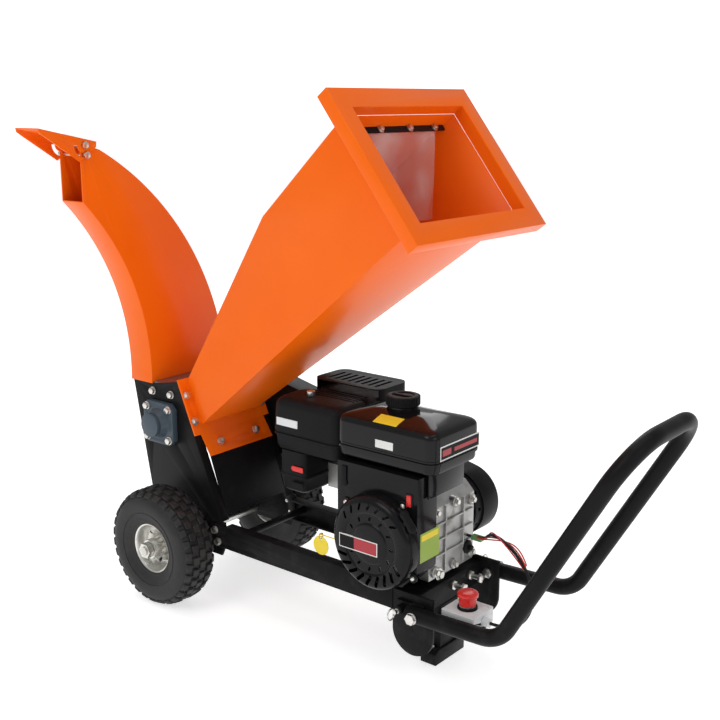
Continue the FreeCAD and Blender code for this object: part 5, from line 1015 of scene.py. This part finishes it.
print("cable length", round(sum((b - a).length for a, b in zip(line, line[1:])), 4))

# %% [markdown]
# ## Plain stickers and the hang tag
#
# The engine carries printed plates and stickers. They are kept as plain coloured fields with a border, thin
# blocks that stand a few tenths of a millimetre proud, because what they say isn't part of the shape.

# %% Stick on the plain fields
FIELDS = [
    (label_white, (0.0525, -0.097, 0.442), (0.0534, 0.033, 0.470)),
    (satin_black, (0.0525, -0.0945, 0.4445), (0.0536, 0.0305, 0.4675)),
    (label_red, (0.0525, -0.090, 0.450), (0.0538, -0.062, 0.462)),
    (label_red, (0.0525, -0.052, 0.452), (0.0538, 0.024, 0.460)),
    (label_white, (-0.137, -0.1583, 0.249), (-0.044, -0.1550, 0.277)),
    (label_red, (-0.135, -0.1586, 0.251), (-0.046, -0.1550, 0.275)),
    (satin_black, (-0.135, -0.1588, 0.251), (-0.100, -0.1550, 0.275)),
    (label_green, (0.0225, -0.114, 0.240), (0.0236, -0.052, 0.298)),
    (tag_yellow, (0.0225, -0.110, 0.282), (0.0238, -0.056, 0.294)),
    (label_white, (-0.081, -0.1186, 0.4495), (-0.039, -0.1170, 0.465)),
    (box_grey, (-0.349, -0.1036, 0.440), (-0.292, -0.1010, 0.456))]
for number, (finish, low, high) in enumerate(FIELDS):
    hand_over("plain_field_%d" % number, block(low, high, 0.0003, 1), finish, "chassis")
sticker = bmesh.new()
columns = []
for level, inset in SHOULDER[2:6]:
    columns.append([sticker.verts.new((x, TANK_LOW[1] + inset, level + 0.0003)) for x in (-0.092, -0.037)])
for first, second in zip(columns, columns[1:]):
    sticker.faces.new((first[0], first[1], second[1], second[0]))
bmesh.ops.recalc_face_normals(sticker, faces=sticker.faces[:])
hand_over("plain_sticker", finished(sticker, ("SOLIDIFY", dict(thickness=0.0008, offset=0.0))), tag_yellow,
          "chassis")
softened("hang_tag", tag_yellow, 0.0006)
softened("clutch_cover", satin_black, 0.0025, 3)
print("fields", len(FIELDS) + 1)


# %% [markdown]
# ## Floor and soft light
#
# A pale floor, a large soft key light high on the left of the view, a broad fill from the right and a strip
# behind for the rims of the black parts. A white dome shows behind everything but lights nothing. Large
# lights keep reflections on gloss black wide and gentle.

# %% Set the floor, the sky and the lights
FLOOR_REACH, SKY_RADIUS = 30, 45
ground = bmesh.new()
bmesh.ops.create_grid(ground, x_segments=1, y_segments=1, size=FLOOR_REACH)
floor = placed("floor", as_mesh("floor", ground))
pale = Finish("pale_floor", Roughness=0.8, Emission_Color=rgb(1.0, 1.0, 1.0), Emission_Strength=0.62)
pale.feed(Base_Color=pale.blend(pale.grain(1.5, 2.0), rgb(0.83, 0.83, 0.83), rgb(0.87, 0.87, 0.87)))
floor.data.materials.append(pale.material)
sky = bmesh.new()
bmesh.ops.create_uvsphere(sky, u_segments=48, v_segments=24, radius=SKY_RADIUS)
dome = placed("backdrop", as_mesh("backdrop", sky))
glow = Finish("backdrop_white", Roughness=1.0, Emission_Color=rgb(1.0, 1.0, 1.0), Emission_Strength=1.0)
dome.data.materials.append(glow.material)
dome.visible_diffuse = dome.visible_glossy = dome.visible_shadow = False
world = bpy.data.worlds.new("studio")
world.use_nodes = True
world.node_tree.nodes["Background"].inputs[0].default_value = (1.0, 1.0, 1.0, 1.0)
world.node_tree.nodes["Background"].inputs[1].default_value = 0.46
bpy.context.scene.world = world
bpy.context.scene.view_settings.view_transform = "Standard"
for name, place, power, size in (("key", (-0.6, -3.2, 3.4), 38.0, 2.4), ("fill", (3.4, -0.8, 2.2), 17.0, 2.6),
                                 ("back", (-2.2, 2.6, 2.8), 30.0, 2.2), ("top", (0.0, 0.0, 4.2), 24.0, 3.0)):
    lamp = bpy.data.lights.new(name, "AREA")
    lamp.energy, lamp.size, lamp.shape = power, size, "DISK"
    light = placed(name, lamp)
    light.location = place
    light.rotation_euler = (Vector((-0.3, 0, 0.4)) - Vector(place)).to_track_quat("-Z", "Y").to_euler()
print("lights set")
